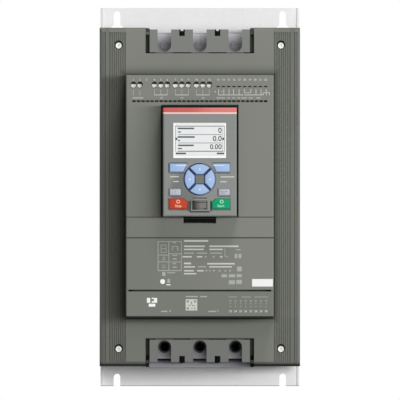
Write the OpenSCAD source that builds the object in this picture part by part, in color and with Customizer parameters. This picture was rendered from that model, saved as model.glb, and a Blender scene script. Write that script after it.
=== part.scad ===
// Soft starter for a three-phase motor: a folded wall plate, a finned heat sink in a rear case with
// two fans, a ribbed front cover with a terminal bay at each end, a raised control unit and a pull-off
// operator panel with its keys.
// X runs to the right, Y to the wall and Z up. The origin is the middle of the wall plate's back face.
// Depth is the distance forward from the wall, so a depth of d lies at y = -d.

/* [Wall plate] */
// How far the wall plate's sides lie inside the sides of the body
plate_inset = 0; // [0:0.25:3]
// Height of the wall plate
plate_h = 380; // [370:1:392]
// Thickness of its sheet
plate_t = 2; // [1.5:0.25:3]
// How far the folded side lips stand in front of the sheet
plate_lip = 10; // [8:0.5:14]
// Inner radius of the two folds
fold_r = 1; // [0.5:0.25:2]
// Width of the screw slots
slot_w = 6.6; // [5.5:0.1:8.5]
// Distance between the left and right screws
slot_dx = 166.5; // [155:0.5:172]
// From the plate's upper edge to the upper screws' place
slot_in = 6.5; // [5:0.5:9]
// From the plate's lower edge to the lower screws' place
open_slot_in = 9; // [5:0.5:12]
// Diameter of the keyholes that let the screw heads through
keyhole_d = 14; // [12:0.5:16]
// How far each keyhole lies below its screw place
keyhole_drop = 16.5; // [12:0.5:18]

/* [Cooling] */
// Depth of the heat sink in front of the wall plate
sink_depth = 90; // [84:1:92]
// Thickness of the heat sink's base
sink_base = 12; // [8:1:16]
// Thickness of the heat sink's side walls
sink_side = 8; // [7:0.5:10]
// Thickness of one fin
fin_t = 2; // [1.5:0.25:3]
// Distance between fins
fin_pitch = 9; // [7:0.5:12]
// Length and width of a fan's frame
fan_size = 80; // [76:1:84]
// Thickness of a fan
fan_t = 25; // [20:1:28]
// Number of blades
fan_blades = 7; // [5:1:9]
// Radius of a fan's hub
fan_hub_r = 17; // [15:0.5:20]
// Radius of a fan's shaft
fan_shaft_r = 1.5; // [1.25:0.25:2.5]

/* [Body] */
// Width of the rear case and front cover
body_w = 199.5; // [198:0.5:208]
// Height of the rear case and front cover
body_h = 337; // [334:1:342]
// Wall thickness of both mouldings
body_wall = 3; // [2.5:0.25:4]
// Depth of the rear case
case_len = 92.5; // [90:0.5:98]
// Depth of the front cover
cover_len = 85; // [80:1:95]
// Radius of the front cover's edges
cover_edge_r = 4; // [1:0.5:4]
// Distance between neighbouring grooves in the side strips
rib_pitch = 2.15; // [1.8:0.05:3]
// Width of a groove at its mouth
groove_w = 1.3; // [0.8:0.1:1.5]
// Depth of a groove
groove_depth = 1.2; // [0.4:0.1:1.4]
// Width of the groove round the foot of the control unit
unit_groove_w = 1.4; // [0.8:0.1:2]
// Depth of that groove
unit_groove_depth = 2; // [1:0.25:2]
// Distance between the left and right cover screws
cover_screw_dx = 161.5; // [158:0.5:166]
// Distance between the upper and lower cover screws
cover_screw_dz = 302; // [296:1:306]
// Radius of a cover screw's head
cover_screw_head_r = 3.4; // [3:0.1:4]
// Radius of a cover screw's shank
cover_screw_r = 2; // [1.5:0.25:2.5]
// How deep the heads lie below the front face
cover_screw_sink = 2.4; // [1:0.2:4]
// How much further the counterbores reach above the heads than below them
cover_screw_slip = 0.8; // [0:0.1:1.5]
// How far the body's upper end is lowered between the sides of the line bay
saddle = 5; // [3:0.5:5]

/* [Power terminals] */
// Distance between neighbouring phases
phase_pitch = 35.3; // [33:0.1:37]
// Height of a terminal bay
bay_h = 25.5; // [22:0.5:28]
// From the outer phase to the side of the bay
bay_side = 18.7; // [17:0.1:20]
// Width of a busbar
bar_w = 18; // [14:0.5:20]
// Thickness of a busbar
bar_t = 4; // [3:0.25:5]
// How far the busbars lie behind the front face
bar_recess = 25; // [22:0.5:28]
// From the end of the body to the end of a busbar
bar_end = 5.5; // [3:0.5:8]
// How far the motor tray's floor stands out of the lower end of the body
floor_out = 1; // [0:0.25:3]
// How much further in the motor terminals lie than the line terminals
motor_shift = 2; // [0:0.25:3]
// Radius of the bolt hole in a busbar
bolt_r = 4.5; // [3:0.1:5.5]
// From the end of the body to the bolt hole
bolt_in = 17; // [15:0.5:18]
// Thickness of the terminal shields
shield_t = 3; // [2:0.25:4]
// Gap at each side of a shield
shield_gap = 3.6; // [2:0.1:5]
// Gap between a shield and the inner end of its bay
shield_slit = 1; // [0.4:0.1:2]
// Width of the cable notches in the shields
notch_w = 13.5; // [10:0.5:16]
// From the end of the body to the closed end of a notch
notch_in = 24; // [20:0.5:24.5]

/* [Power section] */
// Length of a thyristor module
device_len = 92; // [80:1:100]
// Thickness of a thyristor module
device_t = 30; // [26:1:33]
// Gap between neighbouring modules, contactors or transformers
device_gap = 1.5; // [1:0.25:3]
// Height of a bypass contactor
bypass_h = 100; // [90:1:120]
// Depth of a bypass contactor
bypass_len = 36; // [30:1:40]

/* [Control unit] */
// Width of the raised control unit
unit_w = 146.5; // [145:0.5:152]
// Height of the control unit
unit_h = 240.5; // [237:0.5:246]
// How far its middle lies above the middle of the body
unit_up = 0.75; // [-1:0.25:2]
// Depth of the control unit
unit_len = 62; // [56:1:70]
// Wall thickness of the control unit
unit_wall = 2.5; // [2:0.25:3]
// Height of the lower cover
lower_cover_h = 25.8; // [23:0.1:28]
// Gap between the label cover and the lower cover
cover_seam = 1.8; // [0.6:0.1:2.4]
// Height of the plain strip under the operator panel
strip_h = 20; // [14:0.5:26]
// Distance between screw terminals
screw_pitch = 6.4; // [6:0.1:6.6]
// Distance between the spring terminals at the top right
spring_pitch = 5.25; // [4.8:0.05:5.4]
// From the top of the unit to the terminal screws
screw_down = 10.2; // [8:0.1:11]
// How much further the openings reach above the terminal screws than below them
screw_slip = 0.9; // [0:0.1:1.5]
// From the top of the unit to the row of vents
vent_down = 26; // [24:0.5:27]
// Distance between vents
vent_pitch = 4.5; // [4:0.1:6]

/* [Operator panel] */
// Width of the panel's back shell
panel_w = 75.6; // [74:0.2:80]
// Height of the panel's back shell
panel_h = 110.4; // [108:0.2:113]
// From the top of the unit to the pocket that holds the panel
panel_down = 29.5; // [28.5:0.5:31]
// How far the panel's face stands in front of the unit
panel_proud = 25; // [20:1:32]
// Depth of the pocket that holds the panel
pocket_depth = 8; // [6:0.5:12]
// Gap around the panel in its pocket
pocket_gap = 0.6; // [0.4:0.1:1.2]
// Step from the back shell's sides to the bezel's sides
bezel_step = 1.2; // [0.4:0.1:1.6]
// Step from the back shell's ends to the bezel's ends
bezel_end_step = 0.2; // [0.2:0.1:1.2]
// Depth of the bezel
bezel_len = 15; // [13:0.5:18]
// Wall thickness of the bezel
bezel_t = 2; // [1.5:0.25:2.5]
// Width of the display's window
window_w = 52.6; // [48:0.2:56]
// Height of the display's window
window_h = 35; // [32:0.2:36]
// How far the keys stand in front of the bezel
key_proud = 1; // [0.6:0.1:2]
// Travel of a key
key_travel = 0.8; // [0.4:0.1:0.9]
// Gap around a key in the bezel
key_fit = 0.35; // [0.2:0.05:0.5]
// Radius of the ring of arrow keys
arrow_r = 14.9; // [14:0.1:15.2]
// Width of the finger recess under the panel
recess_w = 32.4; // [26:0.2:40]
// Height of the finger recess under the panel
recess_h = 6.2; // [5:0.1:8]

/* [Hidden] */
$fn = 64;

// Clearances and small sizes that several pieces share
fit = 0.3;
snug = 0.05;
over = 1;
knit = 0.5;

// Depths of the main faces, from the wall forward
case_gap = 0.5;
d_case = plate_t + plate_lip + case_gap;
d_split = d_case + case_len;
d_cover = d_split + cover_len;
d_unit = d_cover + unit_len;
d_panel = d_unit + panel_proud;
d_sink = plate_t + sink_depth;
d_device = d_sink + device_t;
d_link = d_device + bar_t;
d_bypass = d_link + bypass_len;
d_bar = d_cover - bar_recess;
d_bay = d_bar - bar_t;

// Wall screws and heat sink
plate_w = body_w - 2 * plate_inset;
slot_top = plate_h / 2 - slot_in;
slot_low = -plate_h / 2 + open_slot_in;
keyhole_z = slot_top - keyhole_drop;
sink_w = min(body_w - 2 * body_wall - 2 * fit, plate_w - 2 * plate_t - 2 * fold_r);
sink_low = -body_h / 2 + body_wall + fan_t + 0.5;
sink_high = min(keyhole_z - keyhole_d / 2 - 1, body_h / 2 - saddle - body_wall - fit);
plate_screw_x = sink_w / 2 - sink_side / 2;
plate_screw_z = 110;
plate_screw_r = 2;
plate_screw_head_r = 3.6;
plate_screw_len = 14;
bulkhead_t = 3;
bulkhead_lap = 8;
outlet_in = 6;

// Fans
fan_x = fan_size / 2 + 1;
fan_d = plate_t + sink_depth / 2;
fan_z = -body_h / 2 + body_wall;
fan_bore_r = fan_size / 2 - 2;
fan_tip_gap = 0.8;
fan_seat_t = 3;
fan_tube_r = 4;
fan_tube_h = 14;

// Cover screws
cover_screw_head_t = 2.6;
cover_screw_gap = 0.6;

// Terminal bays
bay_hw = phase_pitch + bay_side;
bay_in = body_h / 2 - bay_h;
saddle_z = body_h / 2 - saddle;
motor_out = body_h / 2 + motor_shift;
bolt_z = body_h / 2 - bolt_in;
notch_z = body_h / 2 - notch_in + notch_w / 2;
nut_r = bolt_r + 3;
barrier_t = 2;
barrier_back = 6;
barrier_foot = 6.5;
barrier_tip = 0.3;
barrier_dip = 1.7;
barrier_slot = 2.6;
bend_r = 2;
bar_step_in = 32;
bar_step_z = bay_in - body_wall - bar_step_in;
phases = [-phase_pitch, 0, phase_pitch];
shield_hw = bay_hw - shield_gap;
shield_low = bay_in + shield_slit;
shield_high = body_h / 2 - 1.8;
device_w = phase_pitch - device_gap;

// Control unit
unit_top = unit_up + unit_h / 2;
unit_low = unit_up - unit_h / 2;
pocket_w = panel_w + 2 * pocket_gap;
pocket_h = panel_h + 2 * pocket_gap;
pocket_top = unit_top - panel_down;
seam_z = pocket_top - pocket_h;
panel_z = pocket_top - pocket_h / 2;
d_floor = d_unit - pocket_depth;
tray_t = 2;
unit_edge_r = 1.5;
lower_seam_z = unit_low + lower_cover_h;
board_t = 1.6;
control_gap = 18;
d_control = d_cover + control_gap;
d_block = d_unit - unit_wall - 5.5;
block_h = 21;
block_lip = 0.4;
entry_back = 14;
entry_depth = 12;
screw_z = unit_top - screw_down;
terminal_margin = 4.3;
group_gap = 1.6;
supply_x = -unit_w / 2 + terminal_margin;
relay_x = supply_x + 3 * screw_pitch + group_gap;
relay_step = 3 * screw_pitch + group_gap;
spring_ways = 10;
signal_x = relay_x + 3 * relay_step + 1.2;
lower_ways = 8;
lower_pitch = 4.9;
lower_x = unit_w / 2 - terminal_margin - 2 - lower_ways * lower_pitch;
jack_w = 15;
jack_xs = [-36, 13];
vent_margin = 5.5;
vent_count = floor((unit_w - 2 * vent_margin) / vent_pitch);
terminal_screw_r = 1.45;
terminal_screw_head_r = 2.4;
terminal_screw_len = 6;
control_post_r = 3;
control_post_side = 13.25;
control_post_end = 28.25;
control_post_x = unit_w / 2 - control_post_side;
control_post_z = unit_h / 2 - control_post_end;
cap_r = 7;
cap_pitch = 30;
cap_in = 16;
driver_w = 28;
driver_h = 48;
driver_in = 31;
relay_w = 30;
relay_h = 26;
relay_pitch = 40;
relay_in = 44;

// Middles of the screw terminals of one block, and the left and right ends of each block
function screw_xs(left, ways) = [for (i = [0 : ways - 1]) left + (i + 0.5) * screw_pitch];
all_screw_xs = concat(screw_xs(supply_x, 2), [for (k = [0 : 2]) each screw_xs(relay_x + k * relay_step, 3)]);
terminal_spans = [
    [supply_x, supply_x + 2 * screw_pitch],
    [relay_x, relay_x + 3 * screw_pitch],
    [relay_x + relay_step, relay_x + relay_step + 3 * screw_pitch],
    [relay_x + 2 * relay_step, relay_x + 2 * relay_step + 3 * screw_pitch],
    [signal_x, signal_x + spring_ways * spring_pitch]];

// Operator panel
d_parting = d_panel - bezel_len;
d_bezel_in = d_panel - bezel_t;
key_flange_t = 1;
key_flange = key_fit + 0.5;
d_mat = d_bezel_in - key_flange_t - key_travel - 0.2;
d_panel_board = d_mat - 2;
bezel_w = panel_w - 2 * bezel_step;
bezel_h = panel_h - 2 * bezel_end_step;
bezel_edge_r = 1.8;
bezel_post_r = 1.6;
bezel_post_x = bezel_w / 2 - 4.2;
bezel_post_z = bezel_h / 2 - 4.6;
board_edge = 0.8;
plug_w = 16;
plug_h = 16;
plug_z = -12;
plug_gap = 0.5;
arrow_gap = 1.2;
arrow_in = 5.2;
arrow_z = -18.2;
arrow_frame_r = arrow_r + 1.2;
menu_z = -6.85;
menu_h = 7.9;
menu_out = 29.6;
menu_in_top = 13;
menu_in_low = 16.2;
side_key_x = 24.3;
side_key_z = -31;
side_key_w = 11;
side_key_h = 6.1;
run_key_x = 21.2;
run_key_z = -42.35;
run_key_w = 17.7;
run_key_h = 9.9;
run_key_cut = 3.4;
usb_z = -43.9;
usb_w = 14.5;
usb_h = 8.7;
usb_t = 1.6;
usb_frame = 2.4;
usb_frame_low = 2.8;
usb_frame_high = 2.1;
usb_frame_cut = 2.6;
usb_wall = 2;
usb_plug_w = 8;
usb_plug_h = 4;
usb_proud = 0.6;
usb_depth = 2.2;
window_z = 20.3;
window_fit = 0.2;
key_blue = [0.66, 0.77, 0.93];
key_grey = [0.78, 0.78, 0.83];
key_red = [0.80, 0.27, 0.18];
key_green = [0.06, 0.62, 0.42];
crown = -0.5;

// An X-Z outline carried forward from one depth to another
module slab(near, far) {
    translate([0, -near, 0]) rotate([90, 0, 0]) linear_extrude(far - near) children();
}

// A plan outline, drawn with depth d at y = -d, carried upward
module column(low, high) {
    translate([0, 0, low]) linear_extrude(high - low) children();
}

// A side outline, drawn with depth d at x = -d and height as y, carried across
module beam(left, right) {
    translate([left, 0, 0]) rotate([90, 0, 90]) linear_extrude(right - left) children();
}

module block(left, right, near, far, low, high) {
    translate([left, -far, low]) cube([right - left, far - near, high - low]);
}

module rod(x, z, r, near, far) {
    translate([x, -near, z]) rotate([90, 0, 0]) cylinder(r = r, h = far - near);
}

module rect(left, right, low, high) {
    translate([left, low]) square([right - left, high - low]);
}

module rounded(w, h, r) {
    square([w - 2 * r, h], center = true);
    square([w, h - 2 * r], center = true);
    for (x = [-1, 1], y = [-1, 1])
        translate([x * (w / 2 - r), y * (h / 2 - r)]) circle(r);
}

// A round hole about (x, z), made longer upward by slip
module long_hole(x, z, r, slip) {
    translate([x, z]) circle(r);
    translate([x, z + slip]) circle(r);
    rect(x - r, x + r, z, z + slip);
}

// The far corners are round, and the near ones square
module round_far(left, right, near, far, r) {
    rect(left, right, -(far - r), -near);
    rect(left + r, right - r, -far, -near);
    for (x = [left + r, right - r])
        translate([x, -(far - r)]) circle(r);
}

// A box whose front edges are all round
module front_rounded_box(w, low, high, near, far, r) {
    intersection() {
        column(low, high) round_far(-w / 2, w / 2, near, far, r);
        beam(-w / 2, w / 2) rotate(-90) round_far(-high, -low, near, far, r);
    }
}

// What is drawn for the line end at the top is turned over for the motor end at the bottom
module at_motor_end() {
    translate([0, 0, motor_shift]) mirror([0, 0, 1]) children();
}

module both_sides() {
    children();
    mirror([1, 0, 0]) children();
}

// Wall plate

module plate_section(w, depth, r) {
    rect(-w / 2, w / 2, -depth, -r);
    rect(-w / 2 + r, w / 2 - r, -r - knit, 0);
    for (x = [-1, 1])
        translate([x * (w / 2 - r), -r]) circle(r);
}

module wall_slots() {
    for (x = [-slot_dx / 2, slot_dx / 2]) {
        translate([x, slot_top]) circle(d = slot_w);
        rect(x - slot_w / 2, x + slot_w / 2, keyhole_z, slot_top);
        translate([x, keyhole_z]) circle(d = keyhole_d);
        translate([x, slot_low]) circle(d = slot_w);
        rect(x - slot_w / 2, x + slot_w / 2, -plate_h / 2 - over, slot_low);
    }
}

module plate_screw_places() {
    for (x = [-plate_screw_x, plate_screw_x], z = [-plate_screw_z, plate_screw_z])
        translate([x, 0, z]) rotate([90, 0, 0]) children();
}

module back_plate() {
    color("gainsboro") difference() {
        column(-plate_h / 2, plate_h / 2) difference() {
            plate_section(plate_w, plate_t + plate_lip, fold_r + plate_t);
            translate([0, -plate_t]) plate_section(plate_w - 2 * plate_t, plate_lip + over, fold_r);
        }
        slab(-over, plate_t + over) wall_slots();
        plate_screw_places() {
            cylinder(r1 = plate_screw_head_r + snug, r2 = plate_screw_r + snug, h = plate_t);
            cylinder(r = plate_screw_r + snug, h = plate_t + over);
        }
    }
}

module plate_screws() {
    color("lightgray") plate_screw_places() {
        cylinder(r1 = plate_screw_head_r, r2 = plate_screw_r, h = plate_t);
        cylinder(r = plate_screw_r, h = plate_screw_len);
    }
}

// Heat sink and fans

module heat_sink() {
    inner_w = sink_w - 2 * sink_side;
    fins = floor((inner_w - fin_pitch) / fin_pitch);
    first = -fin_pitch * (fins - 1) / 2;
    fin_back = plate_t + 6;
    color("silver") difference() {
        column(sink_low, sink_high) {
            rect(-sink_w / 2, sink_w / 2, -d_sink, -(d_sink - sink_base));
            for (side = [-1, 1])
                translate([side * plate_screw_x - sink_side / 2, -d_sink]) square([sink_side, sink_depth]);
            for (i = [0 : fins - 1])
                rect(first + i * fin_pitch - fin_t / 2, first + i * fin_pitch + fin_t / 2,
                    -(d_sink - sink_base + knit), -fin_back);
        }
        plate_screw_places() translate([0, 0, plate_t - over])
            cylinder(r = plate_screw_r + snug, h = plate_screw_len);
    }
}

// Ring slots under one fan, crossed by spokes
module fan_grille() {
    spoke_w = 4;
    ring_pitch = 6.4;
    ring_w = 2.4;
    difference() {
        for (r = [fan_bore_r : -ring_pitch : ring_pitch])
            difference() {
                circle(r);
                circle(r - ring_pitch + ring_w);
            }
        for (a = [45, 135])
            rotate(a) square([2 * fan_size, spoke_w], center = true);
    }
}

module fan_places() {
    for (x = [-fan_x, fan_x])
        translate([x, -fan_d, fan_z]) children();
}

module fan_frame(side) {
    strut_w = 4;
    hole_in = 4.3;
    hole_r = 2.2;
    color("dimgray") translate([side * fan_x, -fan_d, fan_z]) difference() {
        union() {
            difference() {
                linear_extrude(fan_t) rounded(fan_size, fan_size, 3);
                translate([0, 0, -over]) cylinder(r = fan_bore_r, h = fan_t + 2 * over);
            }
            cylinder(r = fan_hub_r, h = fan_seat_t);
            cylinder(r = fan_tube_r, h = fan_tube_h);
            for (a = [0, 90])
                rotate(a) translate([-fan_size / 2 + 1, -strut_w / 2, 0])
                    cube([fan_size - 2, strut_w, fan_seat_t]);
        }
        translate([0, 0, fan_seat_t]) cylinder(r = fan_shaft_r + snug, h = fan_t);
        for (x = [-1, 1], y = [-1, 1])
            translate([x * (fan_size / 2 - hole_in), y * (fan_size / 2 - hole_in), -over])
                cylinder(r = hole_r, h = fan_t + 2 * over);
    }
}

module fan_rotor(side) {
    rotor_low = fan_seat_t + 1;
    rotor_h = fan_t - rotor_low - 1.5;
    cup_wall = 2.5;
    blade_t = 1.6;
    blade_chord = 1.25 * rotor_h;
    blade_pitch = 40;
    color("dimgray") translate([side * fan_x, -fan_d, fan_z + rotor_low]) {
        difference() {
            cylinder(r = fan_hub_r, h = rotor_h);
            translate([0, 0, -over]) cylinder(r = fan_hub_r - cup_wall, h = rotor_h - cup_wall + over);
        }
        cylinder(r = fan_shaft_r, h = rotor_h - cup_wall / 2);
        intersection() {
            difference() {
                cylinder(r = fan_bore_r - fan_tip_gap, h = rotor_h);
                translate([0, 0, -over]) cylinder(r = fan_hub_r - cup_wall / 2, h = rotor_h + 2 * over);
            }
            for (i = [0 : fan_blades - 1])
                rotate(i * 360 / fan_blades) translate([fan_hub_r - cup_wall, 0, rotor_h / 2])
                    rotate([blade_pitch, 0, 0]) translate([0, -blade_chord / 2, -blade_t / 2])
                        cube([fan_size, blade_chord, blade_t]);
        }
    }
}

// Rear case

module cover_screw_places() {
    for (x = [-cover_screw_dx / 2, cover_screw_dx / 2], z = [-cover_screw_dz / 2, cover_screw_dz / 2])
        translate([x, 0, z]) children();
}

// Air outlet slots over the heat sink
module outlet_slots() {
    slot_pitch = 8;
    slot_gap = 5;
    margin = 8;
    count = floor((sink_w - 2 * margin) / slot_pitch);
    first = -slot_pitch * (count - 1) / 2;
    step_out = bay_hw + body_wall;
    for (i = [0 : count - 1]) {
        x = first + i * slot_pitch;
        if (abs(x) + slot_gap / 2 < shield_hw || abs(x) - slot_gap / 2 > step_out)
            block(x - slot_gap / 2, x + slot_gap / 2, d_case + outlet_in, d_sink - outlet_in,
                saddle_z - body_wall - over, body_h / 2 + over);
    }
}

// The space over the lowered part of the body's upper end, as wide as a shield
module line_saddle(near, far) {
    block(-shield_hw, shield_hw, near - over, far + over, saddle_z, body_h / 2 + over);
}

// That space with its walls, which close the bay's sides too
module saddle_walls(near, far) {
    block(-bay_hw - body_wall, bay_hw + body_wall, near - 2 * over, far + 2 * over,
        saddle_z - body_wall, body_h / 2 + 2 * over);
}

module rear_case() {
    inner_w = body_w - 2 * body_wall;
    inner_h = body_h - 2 * body_wall;
    post_r = cover_screw_r + 5;
    color("dimgray") difference() {
        union() {
            difference() {
                slab(d_case, d_split) rounded(body_w, body_h, 2);
                difference() {
                    block(-inner_w / 2, inner_w / 2, d_case - over, d_split + over,
                        -inner_h / 2, inner_h / 2);
                    saddle_walls(d_case, d_split);
                }
            }
            difference() {
                block(-inner_w / 2 - knit, inner_w / 2 + knit, d_sink, d_sink + bulkhead_t,
                    -inner_h / 2 - knit, inner_h / 2 + knit);
                block(-sink_w / 2 + bulkhead_lap, sink_w / 2 - bulkhead_lap,
                    d_sink - over, d_sink + bulkhead_t + over,
                    sink_low + bulkhead_lap, sink_high - bulkhead_lap);
            }
            cover_screw_places() rod(0, 0, post_r, d_sink + bulkhead_t - knit, d_split);
        }
        cover_screw_places() rod(0, 0, cover_screw_r + snug, d_sink + bulkhead_t, d_split + over);
        line_saddle(d_case, d_split);
        outlet_slots();
        fan_places() translate([0, 0, -body_wall - over]) linear_extrude(body_wall + 2 * over) fan_grille();
    }
}

// Front cover

module groove(x) {
    mouth = groove_w / 2;
    bottom = groove_w / 4;
    end = 4.5;
    column(-body_h / 2 + end, body_h / 2 - end)
        polygon([[x - mouth, -d_cover - 0.1], [x + mouth, -d_cover - 0.1],
            [x + bottom, -d_cover + groove_depth], [x - bottom, -d_cover + groove_depth]]);
}

// A run of grooves beside the control unit, a plain rib, then two grooves near the edge
module side_grooves() {
    start = unit_w / 2 + 1.2;
    edge = body_w / 2 - 5.4;
    plain_rib = 4;
    count = floor((edge - plain_rib - start) / rib_pitch) + 1;
    for (i = [0 : count - 1])
        groove(start + i * rib_pitch);
    for (i = [0, 1])
        groove(edge + i * rib_pitch);
}

module unit_groove() {
    difference() {
        slab(d_cover - unit_groove_depth, d_cover + over) translate([0, unit_up])
            square([unit_w + 2 * unit_groove_w, unit_h + 2 * unit_groove_w], center = true);
        block(-unit_w / 2, unit_w / 2, d_cover - body_wall, d_cover + 2 * over, unit_low, unit_top);
    }
}

module control_posts() {
    for (x = [-control_post_x, control_post_x], z = [-control_post_z, control_post_z])
        rod(x, z + unit_up, control_post_r, d_cover - knit, d_control);
}

module front_cover() {
    inner_w = body_w - 2 * body_wall;
    inner_h = body_h - 2 * body_wall;
    boss_r = cover_screw_r + 5;
    bore_r = cover_screw_head_r + cover_screw_gap;
    head_depth = cover_screw_sink + cover_screw_head_t;
    color([0.42, 0.43, 0.40]) difference() {
        union() {
            difference() {
                front_rounded_box(body_w, -body_h / 2, body_h / 2, d_split, d_cover, cover_edge_r);
                difference() {
                    block(-inner_w / 2, inner_w / 2, d_split - over, d_cover - body_wall,
                        -inner_h / 2, inner_h / 2);
                    saddle_walls(d_split, d_cover);
                }
            }
            cover_screw_places() rod(0, 0, boss_r, d_split, d_cover - body_wall / 2);
            control_posts();
        }
        block(-bay_hw, bay_hw, d_bay, d_cover + over, bay_in, body_h / 2 + over);
        line_saddle(d_split, d_cover);
        at_motor_end() block(-bay_hw, bay_hw, d_bay, d_cover + over, bay_in, motor_out + over);
        at_motor_end() block(-bay_hw, bay_hw, d_bay - body_wall - fit, d_cover + over,
            motor_out - body_wall - over, motor_out + over);
        both_sides() side_grooves();
        unit_groove();
        cover_screw_places() {
            slab(d_cover - head_depth, d_cover + over) long_hole(0, 0, bore_r, cover_screw_slip);
            rod(0, 0, cover_screw_r + 0.2, d_split - over, d_cover);
        }
    }
}

// A terminal tray behind the cover's cut-out: a floor, three walls and the barriers between phases
module terminal_tray(end, tip) {
    far = d_cover - body_wall;
    barrier_far = d_cover - shield_t - barrier_back;
    dip = tip - barrier_dip;
    color([0.30, 0.31, 0.30]) {
        difference() {
            block(-bay_hw - body_wall, bay_hw + body_wall, d_bay - body_wall, far, bay_in - body_wall, end);
            block(-bay_hw, bay_hw, d_bay, far + over, bay_in, end + over);
            for (x = phases) {
                block(x - bar_w / 2 - fit, x + bar_w / 2 + fit, d_bay, d_bar + fit,
                    bay_in - body_wall - over, bay_in + snug);
                rod(x, bolt_z, nut_r, d_bay - body_wall - over, d_bay + over);
            }
        }
        for (x = [-phase_pitch / 2, phase_pitch / 2]) {
            block(x - barrier_t / 2, x + barrier_t / 2, d_bay - knit, barrier_far, bay_in - knit, end);
            block(x - barrier_t / 2, x + barrier_t / 2, d_bay + fit, barrier_far, min(end, dip) - knit, dip);
            block(x - barrier_foot / 2, x + barrier_foot / 2, d_bay + fit, d_bar, bay_in - knit, dip);
            for (side = [-1, 1])
                translate([x + side * (barrier_foot + barrier_slot) / 4, 0, 0])
                    block(-(barrier_foot - barrier_slot) / 4, (barrier_foot - barrier_slot) / 4,
                        d_bay + fit, d_bar, dip - knit, tip);
        }
    }
}

module line_tray() {
    terminal_tray(saddle_z - body_wall, shield_high + barrier_tip);
}

// The motor tray's floor reaches through the end of the cover, under the busbars
module motor_tray() {
    at_motor_end() {
        terminal_tray(motor_out - body_wall, shield_high + barrier_tip);
        color([0.30, 0.31, 0.30]) block(-bay_hw + fit, bay_hw - fit, d_bay - body_wall, d_bay,
            motor_out - body_wall - knit, motor_out + floor_out);
    }
}

module cover_screws() {
    head_t = cover_screw_head_t;
    seat = d_cover - cover_screw_sink - head_t;
    tip = d_sink + bulkhead_t + 1;
    socket_r = 1.3;
    color("white") cover_screw_places() difference() {
        union() {
            rod(0, 0, cover_screw_head_r, seat, seat + head_t);
            rod(0, 0, cover_screw_r, tip, seat + knit);
        }
        translate([0, -seat - head_t + 1.4, 0]) rotate([90, 0, 0]) cylinder(r = socket_r, h = 2, $fn = 6);
    }
}

// Terminal shields

module shield_outline() {
    shoulder = bay_hw - fit;
    shoulder_h = 2.4;
    difference() {
        union() {
            rect(-shield_hw, shield_hw, shield_low, shield_high);
            for (s = [-1, 1])
                polygon([[s * (shield_hw - over), shield_high - shoulder_h],
                    [s * shoulder, shield_high - shoulder_h], [s * shoulder, shield_high + shoulder_h / 2],
                    [s * (shield_hw - over), shield_high]]);
        }
        for (x = phases) {
            translate([x, notch_z]) circle(d = notch_w);
            rect(x - notch_w / 2, x + notch_w / 2, notch_z, shield_high + over);
        }
        for (x = [-phase_pitch / 2, phase_pitch / 2])
            rect(x - 2.75, x + 2.75, shield_high - 6.5, shield_high + over);
    }
}

module shield() {
    wing_back = 6;
    wing_top = shield_high - 7;
    leg_t = 2.5;
    color([0.45, 0.46, 0.43]) {
        slab(d_cover - shield_t, d_cover) shield_outline();
        for (s = [-1, 1]) {
            translate([s * (shield_hw - leg_t / 2) - leg_t / 2, -d_cover + shield_t - knit, shield_low])
                cube([leg_t, d_cover - shield_t - d_bay + knit, wing_top - shield_low]);
            translate([min(s * (shield_hw - leg_t), s * (bay_hw - fit)), -d_cover + wing_back, shield_low])
                cube([bay_hw - fit - shield_hw + leg_t, 2, wing_top - shield_low]);
        }
    }
}

module line_shield() {
    shield();
}

module motor_shield() {
    at_motor_end() shield();
}

// Power section

// A quarter of a flat bend, round the centre (x, y), on the sides given by sx and sy
module bend(x, y, sx, sy) {
    translate([x, y]) intersection() {
        difference() {
            circle(bend_r + bar_t);
            circle(bend_r);
        }
        translate([sx > 0 ? 0 : -bend_r - bar_t - over, sy > 0 ? 0 : -bend_r - bar_t - over])
            square(bend_r + bar_t + over);
    }
}

// A flat bar that rises from a thyristor module, steps forward and rises again into the terminal bay
module bar(x) {
    foot = 12;
    step = bar_step_z;
    color("silver") difference() {
        beam(x - bar_w / 2, x + bar_w / 2) {
            rect(-d_link, -d_device, foot, step - bend_r);
            bend(-d_link - bend_r, step - bend_r, 1, 1);
            rect(-d_bay + bend_r, -d_link - bend_r, step, step + bar_t);
            bend(-d_bay + bend_r, step + bar_t + bend_r, -1, -1);
            rect(-d_bar, -d_bay, step + bar_t + bend_r, body_h / 2 - bar_end);
        }
        rod(x, bolt_z, bolt_r, d_bay - over, d_bar + over);
    }
}

module line_bar(i) {
    bar(phases[i]);
}

module motor_bar(i) {
    at_motor_end() bar(phases[i]);
}

module thyristor(i) {
    base_t = 4;
    waist = 3;
    color("black") {
        block(phases[i] - device_w / 2, phases[i] + device_w / 2, d_sink, d_sink + base_t,
            -device_len / 2, device_len / 2);
        block(phases[i] - device_w / 2 + waist, phases[i] + device_w / 2 - waist,
            d_sink + base_t - knit, d_device, -device_len / 2 + waist, device_len / 2 - waist);
    }
}

module bypass(i) {
    body_len = 0.7 * bypass_len;
    coil_h = 0.6 * bypass_h;
    waist = 2;
    color("darkslategray") {
        block(phases[i] - device_w / 2, phases[i] + device_w / 2, d_link, d_link + body_len,
            -bypass_h / 2, bypass_h / 2);
        block(phases[i] - device_w / 2 + waist, phases[i] + device_w / 2 - waist,
            d_link + body_len - knit, d_bypass, -coil_h / 2, coil_h / 2);
    }
}

module current_sensor(i) {
    low = motor_shift - bay_in + body_wall + 4;
    ring_t = 9;
    ring_h = 18;
    color("navy") difference() {
        block(phases[i] - device_w / 2, phases[i] + device_w / 2, d_bay - ring_t, d_bar + ring_t,
            low, low + ring_h);
        block(phases[i] - bar_w / 2 - fit, phases[i] + bar_w / 2 + fit, d_bay - fit, d_bar + fit,
            low - over, low + ring_h + over);
    }
}

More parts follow.
